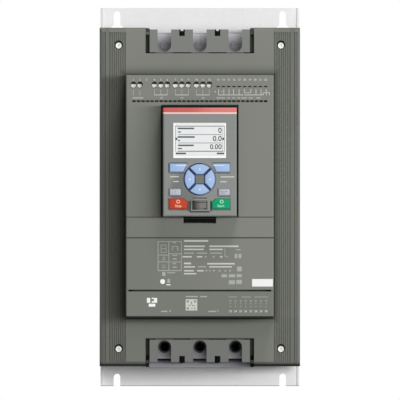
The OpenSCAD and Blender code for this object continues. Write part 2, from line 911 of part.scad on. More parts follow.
module power_board() {
    board_side = 25;
    board_w = body_w - 2 * board_side;
    board_h = 2 * bar_step_z - 12;
    part_h = 9;
    color("darkgreen") {
        block(-board_w / 2, board_w / 2, d_bypass, d_bypass + board_t, -board_h / 2, board_h / 2);
        for (k = [-2, -1, 1, 2])
            rod(-board_w / 2 + cap_in, k * cap_pitch, cap_r,
                d_bypass + board_t - knit, d_bypass + board_t + part_h);
        block(board_w / 2 - driver_in - driver_w / 2, board_w / 2 - driver_in + driver_w / 2,
            d_bypass + board_t - knit, d_bypass + board_t + part_h, -driver_h / 2, driver_h / 2);
    }
}

// Control unit

module unit_section(near, far) {
    intersection() {
        round_far(-unit_w / 2, unit_w / 2, near, far, unit_edge_r);
        rect(-unit_w / 2, unit_w / 2, -far, -near);
    }
}

module terminal_windows() {
    for (w = terminal_spans)
        block(w[0] - fit, w[1] + fit, d_control + board_t, d_block + fit,
            unit_top - unit_wall - over, unit_top + over);
    block(lower_x - fit, lower_x + lower_ways * lower_pitch + fit, d_control + board_t, d_block + fit,
        unit_low - over, unit_low + unit_wall + over);
    for (x = jack_xs)
        block(x - jack_w / 2 - fit, x + jack_w / 2 + fit,
            d_control + board_t, d_control + board_t + jack_w + fit,
            unit_low - over, unit_low + unit_wall + over);
}

module front_openings() {
    screw_hole_r = 2.8;
    spring_slot = [3.4, 1.2];
    spring_down = screw_down + 1.3;
    vent = [3.5, 1.9];
    slab(d_unit - unit_wall - over, d_unit + over) {
        for (x = all_screw_xs)
            long_hole(x, screw_z, screw_hole_r, screw_slip);
        for (i = [0 : spring_ways - 1])
            translate([signal_x + (i + 0.5) * spring_pitch, unit_top - spring_down])
                square(spring_slot, center = true);
        for (i = [0 : vent_count - 1])
            translate([(i - (vent_count - 1) / 2) * vent_pitch, unit_top - vent_down])
                square(vent, center = true);
    }
}

module control_housing() {
    inner = unit_w / 2 - unit_wall;
    recess_hw = recess_w / 2;
    color([0.45, 0.46, 0.43]) difference() {
        union() {
            difference() {
                front_rounded_box(unit_w, unit_low, unit_top, d_cover, d_unit, unit_edge_r);
                block(-inner, inner, d_cover - over, d_unit - unit_wall,
                    unit_low + unit_wall, unit_top - unit_wall);
                block(-inner, inner, d_cover + over, d_unit, unit_low + unit_wall, seam_z);
                block(-unit_w, unit_w, d_unit - unit_wall, d_unit + over, unit_low - over, seam_z);
            }
            block(-pocket_w / 2 - tray_t, pocket_w / 2 + tray_t, d_floor - tray_t, d_unit - unit_wall,
                seam_z - tray_t, pocket_top + tray_t);
            block(-recess_hw - tray_t, recess_hw + tray_t, d_floor - tray_t, d_unit - unit_wall,
                seam_z - recess_h - tray_t, seam_z);
        }
        block(-pocket_w / 2, pocket_w / 2, d_floor, d_unit + over, seam_z, pocket_top);
        block(-recess_hw, recess_hw, d_floor, d_unit + over, seam_z - recess_h, seam_z + over);
        translate([0, 0, panel_z]) socket_hole(d_floor - tray_t - over, d_floor + over);
        front_openings();
        terminal_windows();
    }
}

module cover_clips(low, high) {
    clip_t = 1.5;
    clip_len = 5;
    inner = unit_w / 2 - unit_wall - fit;
    for (s = [-1, 1])
        translate([s * (inner - clip_t / 2) - clip_t / 2, -d_unit + unit_wall - knit, low])
            cube([clip_t, clip_len + knit, high - low]);
}

module label_cover() {
    low = lower_seam_z + cover_seam;
    line = 0.8;
    color([0.44, 0.45, 0.42]) {
        difference() {
            column(low, seam_z) unit_section(d_unit - unit_wall, d_unit);
            block(-recess_w / 2, recess_w / 2, d_unit - unit_wall - over, d_unit + over,
                seam_z - recess_h, seam_z + over);
            block(-unit_w, unit_w, d_unit - line, d_unit + over,
                seam_z - strip_h - line / 2, seam_z - strip_h + line / 2);
        }
        cover_clips(low + 6, seam_z - recess_h - tray_t - 4);
    }
}

module lower_cover() {
    color([0.45, 0.46, 0.43]) {
        column(unit_low, lower_seam_z) unit_section(d_unit - unit_wall, d_unit);
        cover_clips(unit_low + unit_wall + 2, lower_seam_z - 4);
    }
}

module control_board() {
    edge = 4;
    part_h = 10;
    color("darkgreen") {
        block(-unit_w / 2 + unit_wall + edge, unit_w / 2 - unit_wall - edge, d_control, d_control + board_t,
            unit_low + unit_wall + edge, unit_top - unit_wall - edge);
        for (k = [-1.5, -0.5, 0.5])
            block(-unit_w / 2 + relay_in - relay_w / 2, -unit_w / 2 + relay_in + relay_w / 2,
                d_control + board_t - knit, d_control + board_t + part_h,
                k * relay_pitch - relay_h / 2, k * relay_pitch + relay_h / 2);
    }
}

// A terminal block with its wire entries on the outer end and a screw in front of each way
module screw_block(left, ways) {
    entry = 4;
    color([0.16, 0.17, 0.17]) difference() {
        block(left, left + ways * screw_pitch, d_control + board_t, d_block,
            unit_top - block_h, unit_top - block_lip);
        for (x = screw_xs(left, ways)) {
            block(x - entry / 2, x + entry / 2, d_block - entry_back, d_block - entry_back + entry,
                unit_top - entry_depth, unit_top);
            rod(x, screw_z, terminal_screw_r + snug, d_block - terminal_screw_len - over, d_block + over);
        }
    }
}

module terminal_screws() {
    head_t = 2.2;
    slot_t = 0.7;
    color("white") for (x = all_screw_xs)
        difference() {
            union() {
                rod(x, screw_z, terminal_screw_head_r, d_block, d_block + head_t);
                rod(x, screw_z, terminal_screw_r, d_block - terminal_screw_len, d_block + knit);
            }
            block(x - terminal_screw_head_r, x + terminal_screw_head_r, d_block + head_t / 2,
                d_block + head_t + over, screw_z - slot_t / 2, screw_z + slot_t / 2);
        }
}

// A terminal block with spring clamps: a square wire entry on the outer end of each way
module spring_block(left, ways, pitch, low, high, mouth_low) {
    entry = 3;
    color([0.16, 0.17, 0.17]) difference() {
        block(left, left + ways * pitch, d_control + board_t, d_block, low, high);
        for (i = [0 : ways - 1])
            block(left + (i + 0.5) * pitch - entry / 2, left + (i + 0.5) * pitch + entry / 2,
                d_block - entry_back, d_block - entry_back + entry,
                mouth_low, mouth_low + entry_depth + over);
    }
}

module signal_terminal() {
    spring_block(signal_x, spring_ways, spring_pitch, unit_top - block_h, unit_top - block_lip,
        unit_top - entry_depth);
}

module lower_terminal() {
    spring_block(lower_x, lower_ways, lower_pitch, unit_low + block_lip, unit_low + block_h,
        unit_low - over);
}

module data_jacks() {
    mouth_w = 11.8;
    mouth_h = 8.2;
    jack_h = 18;
    wall = 4;
    near = d_control + board_t;
    color("black") for (x = jack_xs)
        difference() {
            block(x - jack_w / 2, x + jack_w / 2, near, near + jack_w,
                unit_low + block_lip, unit_low + jack_h);
            block(x - mouth_w / 2, x + mouth_w / 2, near + wall, near + wall + mouth_h,
                unit_low - over, unit_low + jack_h - wall);
        }
}

// Operator panel, drawn about its own middle

module at_panel() {
    translate([0, 0, panel_z]) children();
}

module socket_hole(near, far) {
    block(-plug_w / 2 - plug_gap, plug_w / 2 + plug_gap, near, far,
        plug_z - plug_h / 2 - plug_gap, plug_z + plug_h / 2 + plug_gap);
}

module panel_back() {
    wall = 2;
    tab_gap = 0.5;
    tab_w = recess_w - 2 * tab_gap;
    tab_h = recess_h - tab_gap - fit;
    tab_t = 4;
    color([0.05, 0.05, 0.05]) at_panel() {
        difference() {
            slab(d_floor, d_parting) rounded(panel_w, panel_h, 3);
            slab(d_floor + wall, d_parting + over) rounded(panel_w - 2 * wall, panel_h - 2 * wall, 1.5);
            socket_hole(d_floor - over, d_floor + wall + over);
        }
        block(-tab_w / 2, tab_w / 2, d_unit - over - tab_t, d_unit - over,
            -panel_h / 2 - pocket_gap - tab_h, -panel_h / 2 + knit);
    }
}

module panel_socket() {
    color("black") at_panel() block(-plug_w / 2, plug_w / 2, d_floor + plug_gap, d_panel_board - board_t,
        plug_z - plug_h / 2, plug_z + plug_h / 2);
}

module panel_board() {
    color("darkgreen") at_panel() {
        block(-bezel_w / 2 + bezel_t + board_edge, bezel_w / 2 - bezel_t - board_edge,
            d_panel_board - board_t, d_panel_board,
            -bezel_h / 2 + bezel_t + board_edge, bezel_h / 2 - bezel_t - board_edge);
        block(-usb_plug_w / 2, usb_plug_w / 2, d_panel_board - knit, d_panel - usb_depth - usb_wall,
            usb_z - usb_plug_h / 2, usb_z + usb_plug_h / 2);
    }
}

module display() {
    module_w = window_w + 7;
    module_h = window_h + 8;
    set_back = 0.6;
    color([0.86, 0.87, 0.86]) at_panel() {
        block(-module_w / 2, module_w / 2, d_panel_board, d_bezel_in,
            window_z - module_h / 2, window_z + module_h / 2);
        block(-window_w / 2 + window_fit, window_w / 2 - window_fit, d_bezel_in - knit, d_panel - set_back,
            window_z - window_h / 2 + window_fit, window_z + window_h / 2 - window_fit);
    }
}

// Key outlines, each grown all round by g

module menu_outline(g) {
    slope = (menu_in_low - menu_in_top) / menu_h;
    shift = g * sqrt(1 + slope * slope);
    high = menu_z + menu_h / 2 + g;
    low = menu_z - menu_h / 2 - g;
    polygon([[menu_out + g, low], [menu_out + g, high], [menu_in_top - slope * g - shift, high],
        [menu_in_low + slope * g - shift, low]]);
}

// One arrow key, drawn upward: cut by the two diagonals, the middle square and the outer circle
module arrow_outline(g) {
    diagonal = (arrow_gap - g) * sqrt(2);
    inner = arrow_in - g;
    reach = 2 * arrow_r;
    translate([0, arrow_z]) intersection() {
        circle(arrow_r + g, $fn = 96);
        polygon([[-inner + diagonal, inner], [inner - diagonal, inner],
            [reach, reach + diagonal], [-reach, reach + diagonal]]);
    }
}

module turned_arrow(turn, g) {
    translate([0, arrow_z]) rotate(turn) translate([0, -arrow_z]) arrow_outline(g);
}

module side_key_outline(g) {
    translate([side_key_x, side_key_z]) square([side_key_w + 2 * g, side_key_h + 2 * g], center = true);
}

module run_outline(g) {
    cut = run_key_cut + g * (2 - sqrt(2));
    left = run_key_x - run_key_w / 2 - g;
    right = run_key_x + run_key_w / 2 + g;
    low = run_key_z - run_key_h / 2 - g;
    high = run_key_z + run_key_h / 2 + g;
    polygon([[left, low], [right, low], [right, high], [left + cut, high], [left, high - cut]]);
}

module usb_frame_outline() {
    w = usb_w + 2 * usb_frame;
    low = usb_z - usb_h / 2 - usb_frame_low;
    high = usb_z + usb_h / 2 + usb_frame_high;
    cut = usb_frame_cut;
    polygon([[-w / 2, low], [w / 2, low], [w / 2, high - cut], [w / 2 - cut, high],
        [-w / 2 + cut, high], [-w / 2, high - cut]]);
}

module key_holes() {
    for (s = [0, 1])
        mirror([s, 0]) {
            menu_outline(key_fit);
            side_key_outline(key_fit);
            run_outline(key_fit);
        }
    translate([0, arrow_z]) circle(arrow_frame_r + 0.1);
    translate([0, window_z]) square([window_w, window_h], center = true);
}

module panel_bezel() {
    pocket = fit;
    socket_w = 9;
    socket_h = 5;
    usb_back = d_panel - usb_depth - usb_wall;
    color([0.60, 0.61, 0.60]) at_panel() difference() {
        union() {
            difference() {
                front_rounded_box(bezel_w, -bezel_h / 2, bezel_h / 2, d_parting, d_panel, bezel_edge_r);
                block(-bezel_w / 2 + bezel_t, bezel_w / 2 - bezel_t, d_parting - over, d_bezel_in,
                    -bezel_h / 2 + bezel_t, bezel_h / 2 - bezel_t);
                slab(d_bezel_in - over, d_panel + over) key_holes();
            }
            for (x = [-1, 1], z = [-1, 1])
                rod(x * bezel_post_x, z * bezel_post_z, bezel_post_r, d_panel_board, d_bezel_in + knit);
            block(-usb_w / 2 - usb_wall, usb_w / 2 + usb_wall, usb_back, d_panel - knit,
                usb_z - usb_h / 2 - usb_wall, usb_z + usb_h / 2 + usb_wall);
            slab(d_panel - knit, d_panel + usb_proud) usb_frame_outline();
        }
        block(-usb_w / 2 - pocket, usb_w / 2 + pocket, d_panel - usb_depth, d_panel + over,
            usb_z - usb_h / 2 - pocket, usb_z + usb_h / 2 + pocket);
        block(-socket_w / 2, socket_w / 2, usb_back - over, d_panel,
            usb_z - socket_h / 2, usb_z + socket_h / 2);
    }
}

module arrow_frame() {
    post = 3.6;
    set_back = 0.4;
    color([0.10, 0.14, 0.24]) at_panel() {
        slab(d_bezel_in, d_panel - set_back) difference() {
            translate([0, arrow_z]) circle(arrow_frame_r);
            for (turn = [0, 90, 180, 270])
                turned_arrow(turn, key_fit);
        }
        block(-post, post, d_mat, d_bezel_in + knit, arrow_z - post, arrow_z + post);
    }
}

module key_mat() {
    mat_side = 6.5;
    mat_w = bezel_w - 2 * mat_side;
    mat_low = -bezel_h / 2 + 4;
    color([0.12, 0.16, 0.26]) at_panel() difference() {
        block(-mat_w / 2, mat_w / 2, d_panel_board, d_mat, mat_low, menu_z + menu_h / 2 + over);
        block(-usb_w / 2 - usb_wall - over, usb_w / 2 + usb_wall + over, d_panel_board - over, d_mat + over,
            mat_low - over, usb_z + usb_h / 2 + usb_wall + fit);
    }
}

// A key cap: a flange behind the bezel, a body through it and a bevelled crown
module key_cap(tint) {
    bevel = 0.4;
    skin = 0.01;
    top = d_panel + key_proud;
    color(tint) at_panel() {
        slab(d_bezel_in - key_flange_t, d_bezel_in) children(2);
        slab(d_bezel_in - knit, top - bevel) children(0);
        hull() {
            slab(top - bevel - skin, top - bevel) children(0);
            slab(top - skin, top) children(1);
        }
    }
}

module key_menu(side) {
    key_cap(key_blue) {
        mirror([side, 0]) menu_outline(0);
        mirror([side, 0]) menu_outline(crown);
        mirror([side, 0]) menu_outline(key_flange);
    }
}

module key_arrow(turn) {
    key_cap(key_blue) {
        turned_arrow(turn, 0);
        turned_arrow(turn, crown);
        turned_arrow(turn, key_flange);
    }
}

module key_side(side) {
    key_cap(key_grey) {
        mirror([side, 0]) side_key_outline(0);
        mirror([side, 0]) side_key_outline(crown);
        mirror([side, 0]) side_key_outline(key_flange);
    }
}

module key_run(side, tint) {
    key_cap(tint) {
        mirror([side, 0]) run_outline(0);
        mirror([side, 0]) run_outline(crown);
        mirror([side, 0]) run_outline(key_flange);
    }
}

// The flap over the service socket hangs from a round upper edge
module usb_cover() {
    front = d_panel + usb_proud - 0.4;
    pivot_d = front - usb_t / 2;
    pivot_z = usb_z + usb_h / 2 - usb_t / 2;
    lip_h = 1.2;
    color([0.36, 0.36, 0.35]) at_panel() {
        block(-usb_w / 2, usb_w / 2, front - usb_t, front, usb_z - usb_h / 2, pivot_z);
        translate([-usb_w / 2, -pivot_d, pivot_z]) rotate([0, 90, 0]) cylinder(d = usb_t, h = usb_w);
        block(-usb_w / 4, usb_w / 4, front - knit, front + 0.5,
            usb_z - usb_h / 2, usb_z - usb_h / 2 + lip_h);
    }
}

back_plate();
heat_sink();
rear_case();
front_cover();
line_tray();
motor_tray();
line_shield();
motor_shield();
line_bar(0);  // line_bar_1
line_bar(1);  // line_bar_2
line_bar(2);  // line_bar_3
motor_bar(0);  // motor_bar_1
motor_bar(1);  // motor_bar_2
motor_bar(2);  // motor_bar_3
thyristor(0);  // thyristor_1
thyristor(1);  // thyristor_2
thyristor(2);  // thyristor_3
bypass(0);  // bypass_1
bypass(1);  // bypass_2
bypass(2);  // bypass_3
current_sensor(0);  // current_sensor_1
current_sensor(1);  // current_sensor_2
current_sensor(2);  // current_sensor_3
power_board();
control_board();
control_housing();
label_cover();
lower_cover();
screw_block(supply_x, 2);  // supply_terminal
screw_block(relay_x, 3);  // relay_terminal_1
screw_block(relay_x + relay_step, 3);  // relay_terminal_2
screw_block(relay_x + 2 * relay_step, 3);  // relay_terminal_3
signal_terminal();
lower_terminal();
data_jacks();
terminal_screws();
cover_screws();
plate_screws();
fan_frame(-1);  // fan_frame_left
fan_frame(1);  // fan_frame_right
fan_rotor(-1);  // fan_rotor_left
fan_rotor(1);  // fan_rotor_right
panel_back();
panel_bezel();
arrow_frame();
display();
key_mat();
panel_board();
panel_socket();
key_menu(1);  // key_menu_left
key_menu(0);  // key_menu_right
key_arrow(0);  // key_up
key_arrow(180);  // key_down
key_arrow(90);  // key_left
key_arrow(270);  // key_right
key_side(1);  // key_help
key_side(0);  // key_mode
key_run(1, key_red);  // key_stop
key_run(0, key_green);  // key_start
usb_cover();
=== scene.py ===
# %% [markdown]
# A soft starter brings a large motor up to speed gently. It hangs on a wall, so this portrait looks at it
# square from the front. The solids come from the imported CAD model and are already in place. This lesson
# gives them finishes, softens the keys, and adds what is too thin for CAD, such as print and the screen's
# lines.

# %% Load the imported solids
import math
import bmesh
import bpy
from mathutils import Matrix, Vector


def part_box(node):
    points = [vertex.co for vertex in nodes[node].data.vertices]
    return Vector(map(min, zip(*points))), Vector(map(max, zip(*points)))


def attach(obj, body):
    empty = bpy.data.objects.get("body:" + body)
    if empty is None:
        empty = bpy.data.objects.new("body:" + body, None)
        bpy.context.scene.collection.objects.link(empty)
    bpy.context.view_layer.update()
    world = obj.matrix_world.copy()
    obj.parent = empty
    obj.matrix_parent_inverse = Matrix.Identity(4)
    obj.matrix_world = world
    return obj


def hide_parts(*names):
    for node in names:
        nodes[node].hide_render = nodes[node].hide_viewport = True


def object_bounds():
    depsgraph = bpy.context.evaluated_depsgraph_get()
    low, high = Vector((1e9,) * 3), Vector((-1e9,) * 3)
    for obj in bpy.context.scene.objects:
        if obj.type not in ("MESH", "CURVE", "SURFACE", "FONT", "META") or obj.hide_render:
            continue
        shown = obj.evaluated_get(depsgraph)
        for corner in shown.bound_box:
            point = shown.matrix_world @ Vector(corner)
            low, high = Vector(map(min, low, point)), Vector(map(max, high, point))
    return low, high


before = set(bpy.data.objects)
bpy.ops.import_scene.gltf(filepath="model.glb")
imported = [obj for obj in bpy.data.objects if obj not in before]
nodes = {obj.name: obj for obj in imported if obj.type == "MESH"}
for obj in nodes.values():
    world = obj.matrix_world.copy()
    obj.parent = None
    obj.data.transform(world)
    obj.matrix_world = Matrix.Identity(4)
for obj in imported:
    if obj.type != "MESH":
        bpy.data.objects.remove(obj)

MM = 0.001
cad_low, cad_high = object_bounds()
print("solids:", len(nodes), "size in mm:", [round(v / MM, 1) for v in cad_high - cad_low])

# %% [markdown]
# The photo has almost no perspective: the sides of the raised unit don't show. An orthographic camera
# would do that too. A very long lens a good way off gives the same flat look, and still frames the part
# from other sides.

# %% Camera
SENSOR = 36.0
VIEW_WIDTH = 398 * MM
HALF_ANGLE = math.radians(0.62)
aim = Vector((0.2 * MM, -190 * MM, -3 * MM))
distance = VIEW_WIDTH / 2 / math.tan(HALF_ANGLE)
bpy.ops.object.select_all(action="DESELECT")
bpy.ops.object.camera_add(location=aim - Vector((0, distance, 0)), rotation=(math.pi / 2, 0, 0))
camera = bpy.context.object
camera.name = "portrait_camera"
camera.data.sensor_width = SENSOR
camera.data.lens = SENSOR / 2 / math.tan(HALF_ANGLE)
camera.data.clip_end = 60
bpy.context.scene.camera = camera
bpy.context.scene.view_settings.view_transform = "Standard"
print("camera distance in m:", round(distance, 2))

# %% [markdown]
# Shader maths reads best as plain arithmetic. This small class holds one output socket of a node tree.
# Adding or multiplying two of them adds a Math node, and one method makes every other kind of node.
# Placing the nodes by hand in the editor would do the same, but a formula is easier to read and to
# change.

# %% A socket that does arithmetic
class Wire:
    def __init__(self, tree, socket=None):
        self.tree = tree
        self.socket = socket

    def node(self, kind, settings=None, sockets=None, out=0):
        made = self.tree.nodes.new("ShaderNode" + kind)
        for name, value in (settings or {}).items():
            setattr(made, name, value)
        for key, value in (sockets or {}).items():
            if isinstance(value, Wire):
                self.tree.links.new(value.socket, made.inputs[key])
            else:
                made.inputs[key].default_value = value
        return Wire(self.tree, made.outputs[out]) if made.outputs else None

    def maths(self, operation, first, second):
        return self.node("Math", {"operation": operation}, {0: first, 1: second})

    def __add__(self, other):
        return self.maths("ADD", self, other)

    __radd__ = __add__

    def __sub__(self, other):
        return self.maths("SUBTRACT", self, other)

    def __rsub__(self, other):
        return self.maths("SUBTRACT", other, self)

    def __mul__(self, other):
        return self.maths("MULTIPLY", self, other)

    __rmul__ = __mul__

    def at_least(self, other):
        return self.maths("MAXIMUM", self, other)

    def at_most(self, other):
        return self.maths("MINIMUM", self, other)

    def size(self):
        return self.maths("ABSOLUTE", self, 0.0)

    def below(self, other):
        return self.maths("LESS_THAN", self, other)

    def ramp(self, start, stop):
        """0 up to start, 1 from stop on, and straight between them; start may be the larger."""
        return ((self - start) * (1 / (stop - start))).at_least(0.0).at_most(1.0)

    def mix(self, low, high):
        return self.node("Mix", {"data_type": "RGBA"}, {0: self, 6: low, 7: high}, out=2)


def tone(red, green, blue):
    """A screen colour, 0 to 255, as the linear colour that a shader takes."""
    linear = []
    for value in (red, green, blue):
        part = value / 255
        linear.append(part / 12.92 if part < 0.04045 else ((part + 0.055) / 1.055) ** 2.4)
    return (*linear, 1.0)


def shade(colour, factor):
    return (*(min(1.0, part * factor) for part in colour[:3]), 1.0)


print("mid grey is", [round(v, 3) for v in tone(128, 128, 128)])

# %% [markdown]
# The world is white where the camera, a reflection or a clear pane sees it, and a low fill elsewhere. A
# picture of a studio could light the part instead, but a plain world keeps the background even.

# %% World
FILL = 0.1
WHITE = (1, 1, 1, 1)


def seen_itself(first):
    """1 for a ray from the camera, a reflection or a clear pane, and 0 for light that bounces."""
    seen = first.node("LightPath", out="Is Camera Ray") + first.node("LightPath", out="Is Glossy Ray")
    return seen + first.node("LightPath", out="Is Transmission Ray")


world = bpy.data.worlds.new("studio")
bpy.context.scene.world = world
world.use_nodes = True
world.node_tree.nodes.clear()
start = Wire(world.node_tree)
fill = start.node("Background", {}, {"Color": WHITE, "Strength": FILL})
white = start.node("Background", {}, {"Color": WHITE, "Strength": 1.0})
both = start.node("MixShader", {}, {0: seen_itself(start), 1: fill, 2: white})
start.node("OutputWorld", {}, {"Surface": both})
print("world fill:", FILL)

# %% [markdown]
# The light is one wide, low softbox that starts in front of the part and reaches far round to the right,
# a little above it. Its width makes the raised unit's shadow on the left of the cover deep near the unit
# and soft further out, and its small height keeps the shadow under the unit short. It stands far off, so
# that it falls alike on the top and the bottom, where a near lamp would favour one end. Light linking
# lets it pass the wall plate, because the plate's folded lips would draw dark lines down the plate. A
# weak lamp above gives the upper half a little more, and one behind keeps the back readable.

# %% Lamps
def lamp(name, place, watts, width, height):
    bpy.ops.object.light_add(type="AREA", location=place)
    made = bpy.context.object
    made.name = name
    made.data.energy = watts
    made.data.shape = "RECTANGLE"
    made.data.size = width
    made.data.size_y = height
    made.visible_camera = False
    made.rotation_mode = "QUATERNION"
    made.rotation_quaternion = (aim - Vector(place)).to_track_quat("-Z", "Y")
    return made


key_lamp = lamp("key_lamp", (5.91, -10.63, 0.55), watts=1190, width=12.5, height=1.65)
lamp("top_lamp", (0.4, -1.6, 2.2), watts=25, width=0.8, height=0.8)
lamp("back_lamp", (-1.6, 1.9, 1.3), watts=40, width=1.2, height=1.2)
passed = bpy.data.collections.new("passed_by_key_lamp")
passed.objects.link(nodes["back_plate"])
passed.collection_objects[0].light_linking.link_state = "EXCLUDE"
key_lamp.light_linking.blocker_collection = passed
print("key lamp width in m:", key_lamp.data.size)

# %% [markdown]
# Every finish here starts in the same way: an empty material, and the Object coordinates of the piece,
# which are metres in the shared frame. A pattern's scale is therefore how many of its cells fit in a
# metre.

# %% Start and close a finish
def begin(name):
    material = bpy.data.materials.new(name)
    material.use_nodes = True
    material.node_tree.nodes.clear()
    first = Wire(material.node_tree)
    place = first.node("TexCoord", out="Object")
    return material, first, place


def close(first, sockets):
    shader = first.node("BsdfPrincipled", {}, sockets)
    first.node("OutputMaterial", {}, {"Surface": shader})


def axes(first, place):
    return [first.node("SeparateXYZ", {}, {"Vector": place}, out=axis) for axis in "XYZ"]


def noise(first, place, scale, detail=2.0):
    return first.node("TexNoise", {}, {"Vector": place, "Scale": scale, "Detail": detail}, out=0)


def bump(first, height, strength, depth):
    return first.node("Bump", {}, {"Height": height, "Strength": strength, "Distance": depth})


def dress(material, *names):
    """Gives whole CAD nodes one finish."""
    for name in names:
        if len(nodes[name].material_slots) == 0:
            nodes[name].data.materials.append(material)
        for one in nodes[name].material_slots:
            one.material = material


print("a grain of 0.4 mm is a noise scale of", round(1 / (0.4 * MM)))

# %% [markdown]
# Moulded plastic has a spark-eroded grain, fine enough to be felt more than seen, and its colour drifts a
# little over a large face. A picture of plastic would need an unwrapped mesh. Noises need none: a fine
# one makes the bump and the gloss, and a broad one with a speckle makes the colour.

# %% Moulded plastic
GRAIN = 2600.0
SPECKLE = 700.0
CLOUD = 14.0
GRAIN_STRENGTH = 0.25
DRIFT = 0.05


def moulded(name, colour, rough=0.5, gloss=0.1, second=None, where=None):
    """Where gives a share from 0 to 1 out of x, y and z, at which the plastic takes its second colour."""
    material, first, place = begin(name)
    fine = noise(first, place, GRAIN)
    broad = noise(first, place, CLOUD)
    speck = noise(first, place, SPECKLE)
    share = broad * 0.7 + speck * 0.3
    tint = share.mix(shade(colour, 1 - DRIFT), shade(colour, 1 + DRIFT))
    if where:
        tint = where(*axes(first, place)).mix(tint, second)
    close(first, {
        "Base Color": tint,
        "Roughness": fine * 0.16 + (rough - 0.08),
        "Specular IOR Level": gloss,
        "Normal": bump(first, fine, GRAIN_STRENGTH, 0.05 * MM),
    })
    return material


print("grain of the plastic in mm:", round(1 / GRAIN / MM, 2))

# %% [markdown]
# Shade is painted on the cover's ribbed sides, in its grooves and along its lower rim, the raised unit's
# shadow is painted on the plastic beside it, and a dark line runs along the seam over the motor shield.
# This could be painted on the vertices, but the CAD mesh has few of them and is never changed. So each
# share is worked out from the place on the cover: a distance, a ramp between two values, and a strength.

# %% Shade on the cover
COVER = -190 * MM
SIDES = 73 * MM
UNIT_HALF_WIDTH = 73.2 * MM
UNIT_HALF_HEIGHT = 120.2 * MM
UNIT_MIDDLE = 0.75 * MM
UNIT_FOOT = -118 * MM
MOTOR_SEAM = -140.9 * MM
BAY_HALF_WIDTH = 54.2 * MM


def cover_painted_shade(x, y, z):
    """Painted shade on the ribbed sides, in grooves and along the lower rim, painted shadow round the unit,
    and a dark line at the motor seam.
    """
    across = x.size()
    between = across.below(SIDES)
    outer_strip = (across - 92.2 * MM).size().below(2.6 * MM) * 0.12
    ribbed = across.ramp(SIDES, SIDES + 0.4 * MM) * 0.13 + outer_strip
    inner = across.below(97.3 * MM) * z.size().below(162 * MM)
    grooves = (y - COVER).ramp(1.5 * MM, 4 * MM) * inner * 0.9
    rim_face = z.ramp(-163.4 * MM, -164.2 * MM) * 0.48
    rim_edge = z.ramp(-164.6 * MM, -166.2 * MM) * 0.86
    away = (across - UNIT_HALF_WIDTH).at_least((z - UNIT_MIDDLE).size() - UNIT_HALF_HEIGHT)
    beside = away.ramp(14 * MM, 0.0)
    under = away.ramp(4 * MM, 1.6 * MM) * z.below(0.0) * between * 0.92
    shadow_fade = away.ramp(26 * MM, 2 * MM) * z.below(UNIT_FOOT) * between * 0.14
    low = z.ramp(UNIT_FOOT, UNIT_FOOT - 4 * MM) * 0.06 + shadow_fade
    seam = (z - MOTOR_SEAM).size().below(0.75 * MM) * across.below(BAY_HALF_WIDTH) * 0.55
    wide = ribbed + low.at_least(seam)
    edges = rim_face.at_least(rim_edge).at_least(grooves)
    return wide.at_least(edges).at_least(beside * beside * 0.7).at_least(under)


cover_plastic = moulded("cover_plastic_grain", tone(128, 130, 123), rough=0.55, second=tone(16, 17, 16),
                        where=cover_painted_shade)
dress(cover_plastic, "front_cover")
print("cover's front plane in mm:", round(COVER / MM))

# %% [markdown]
# The smaller mouldings get painted shade too: in seams too narrow to go dark by themselves, across the
# unit towards its lower left, along the foot of the lower cover, at the ends of the shields, and as a
# shadow between the keys. The floor of a tray gets painted light. The same kind of formula says where
# each lies.

# %% Shade on the smaller mouldings
LABEL_SEAM = -20 * MM
LABEL_GROOVE = -40.5 * MM
SHADOW_X = -16 * MM
SHADOW_Z = 6 * MM


def unit_painted_shade(x, y, z):
    """Painted shade in the seam over the label cover and in its groove, and painted shade that grows to the
    lower left.
    """
    seam = (z - LABEL_SEAM).size().below(0.6 * MM) * y.below(-244.6 * MM)
    groove = (z - LABEL_GROOVE).size().below(0.7 * MM) * y.below(-250.5 * MM)
    lower_left_shade = x.ramp(48 * MM, -55 * MM) * z.ramp(100 * MM, 30 * MM) * 0.27
    return seam.at_least(groove).at_least(lower_left_shade)


def foot_painted_shade(x, y, z):
    """Painted shade along the lower edge of the lower cover."""
    return z.ramp(UNIT_FOOT + 0.1 * MM, UNIT_FOOT - 0.3 * MM)


def shield_painted_shade(x, y, z):
    """Painted shade on the sides of both shields and along the motor shield's lower edge."""
    sides = x.size().ramp(49.6 * MM, 49.9 * MM)
    lower = z.ramp(-164.0 * MM, -164.4 * MM) * 0.75
    return sides.at_least(lower)


def tray_light(x, y, z):
    """Painted light on the motor tray's floor, which grows paler towards its outer end."""
    return z.ramp(-162.4 * MM, -166.0 * MM) * (y * -1).below(161.2 * MM) * x.size().below(50.4 * MM)


def bezel_painted_shadow(x, y, z):
    """Painted shadow between the left keys and the ring of arrow keys."""
    dx = x - SHADOW_X
    dz = (z - SHADOW_Z) * 0.7
    spread = dx * dx + dz * dz
    return (spread.ramp((15 * MM) ** 2, (6 * MM) ** 2) * 0.9).at_most(0.5)


def flap_dusk(x, y, z):
    """The left part of the flap, in the shade of its surround."""
    return x.ramp(1 * MM, -6 * MM)


print("formulas for shade: 6")

# %% [markdown]
# The plastics differ in colour, gloss and shade, and each is made and given to its pieces here. One grey
# for all would be quicker, but the mouldings of the real unit differ in shade from piece to piece.

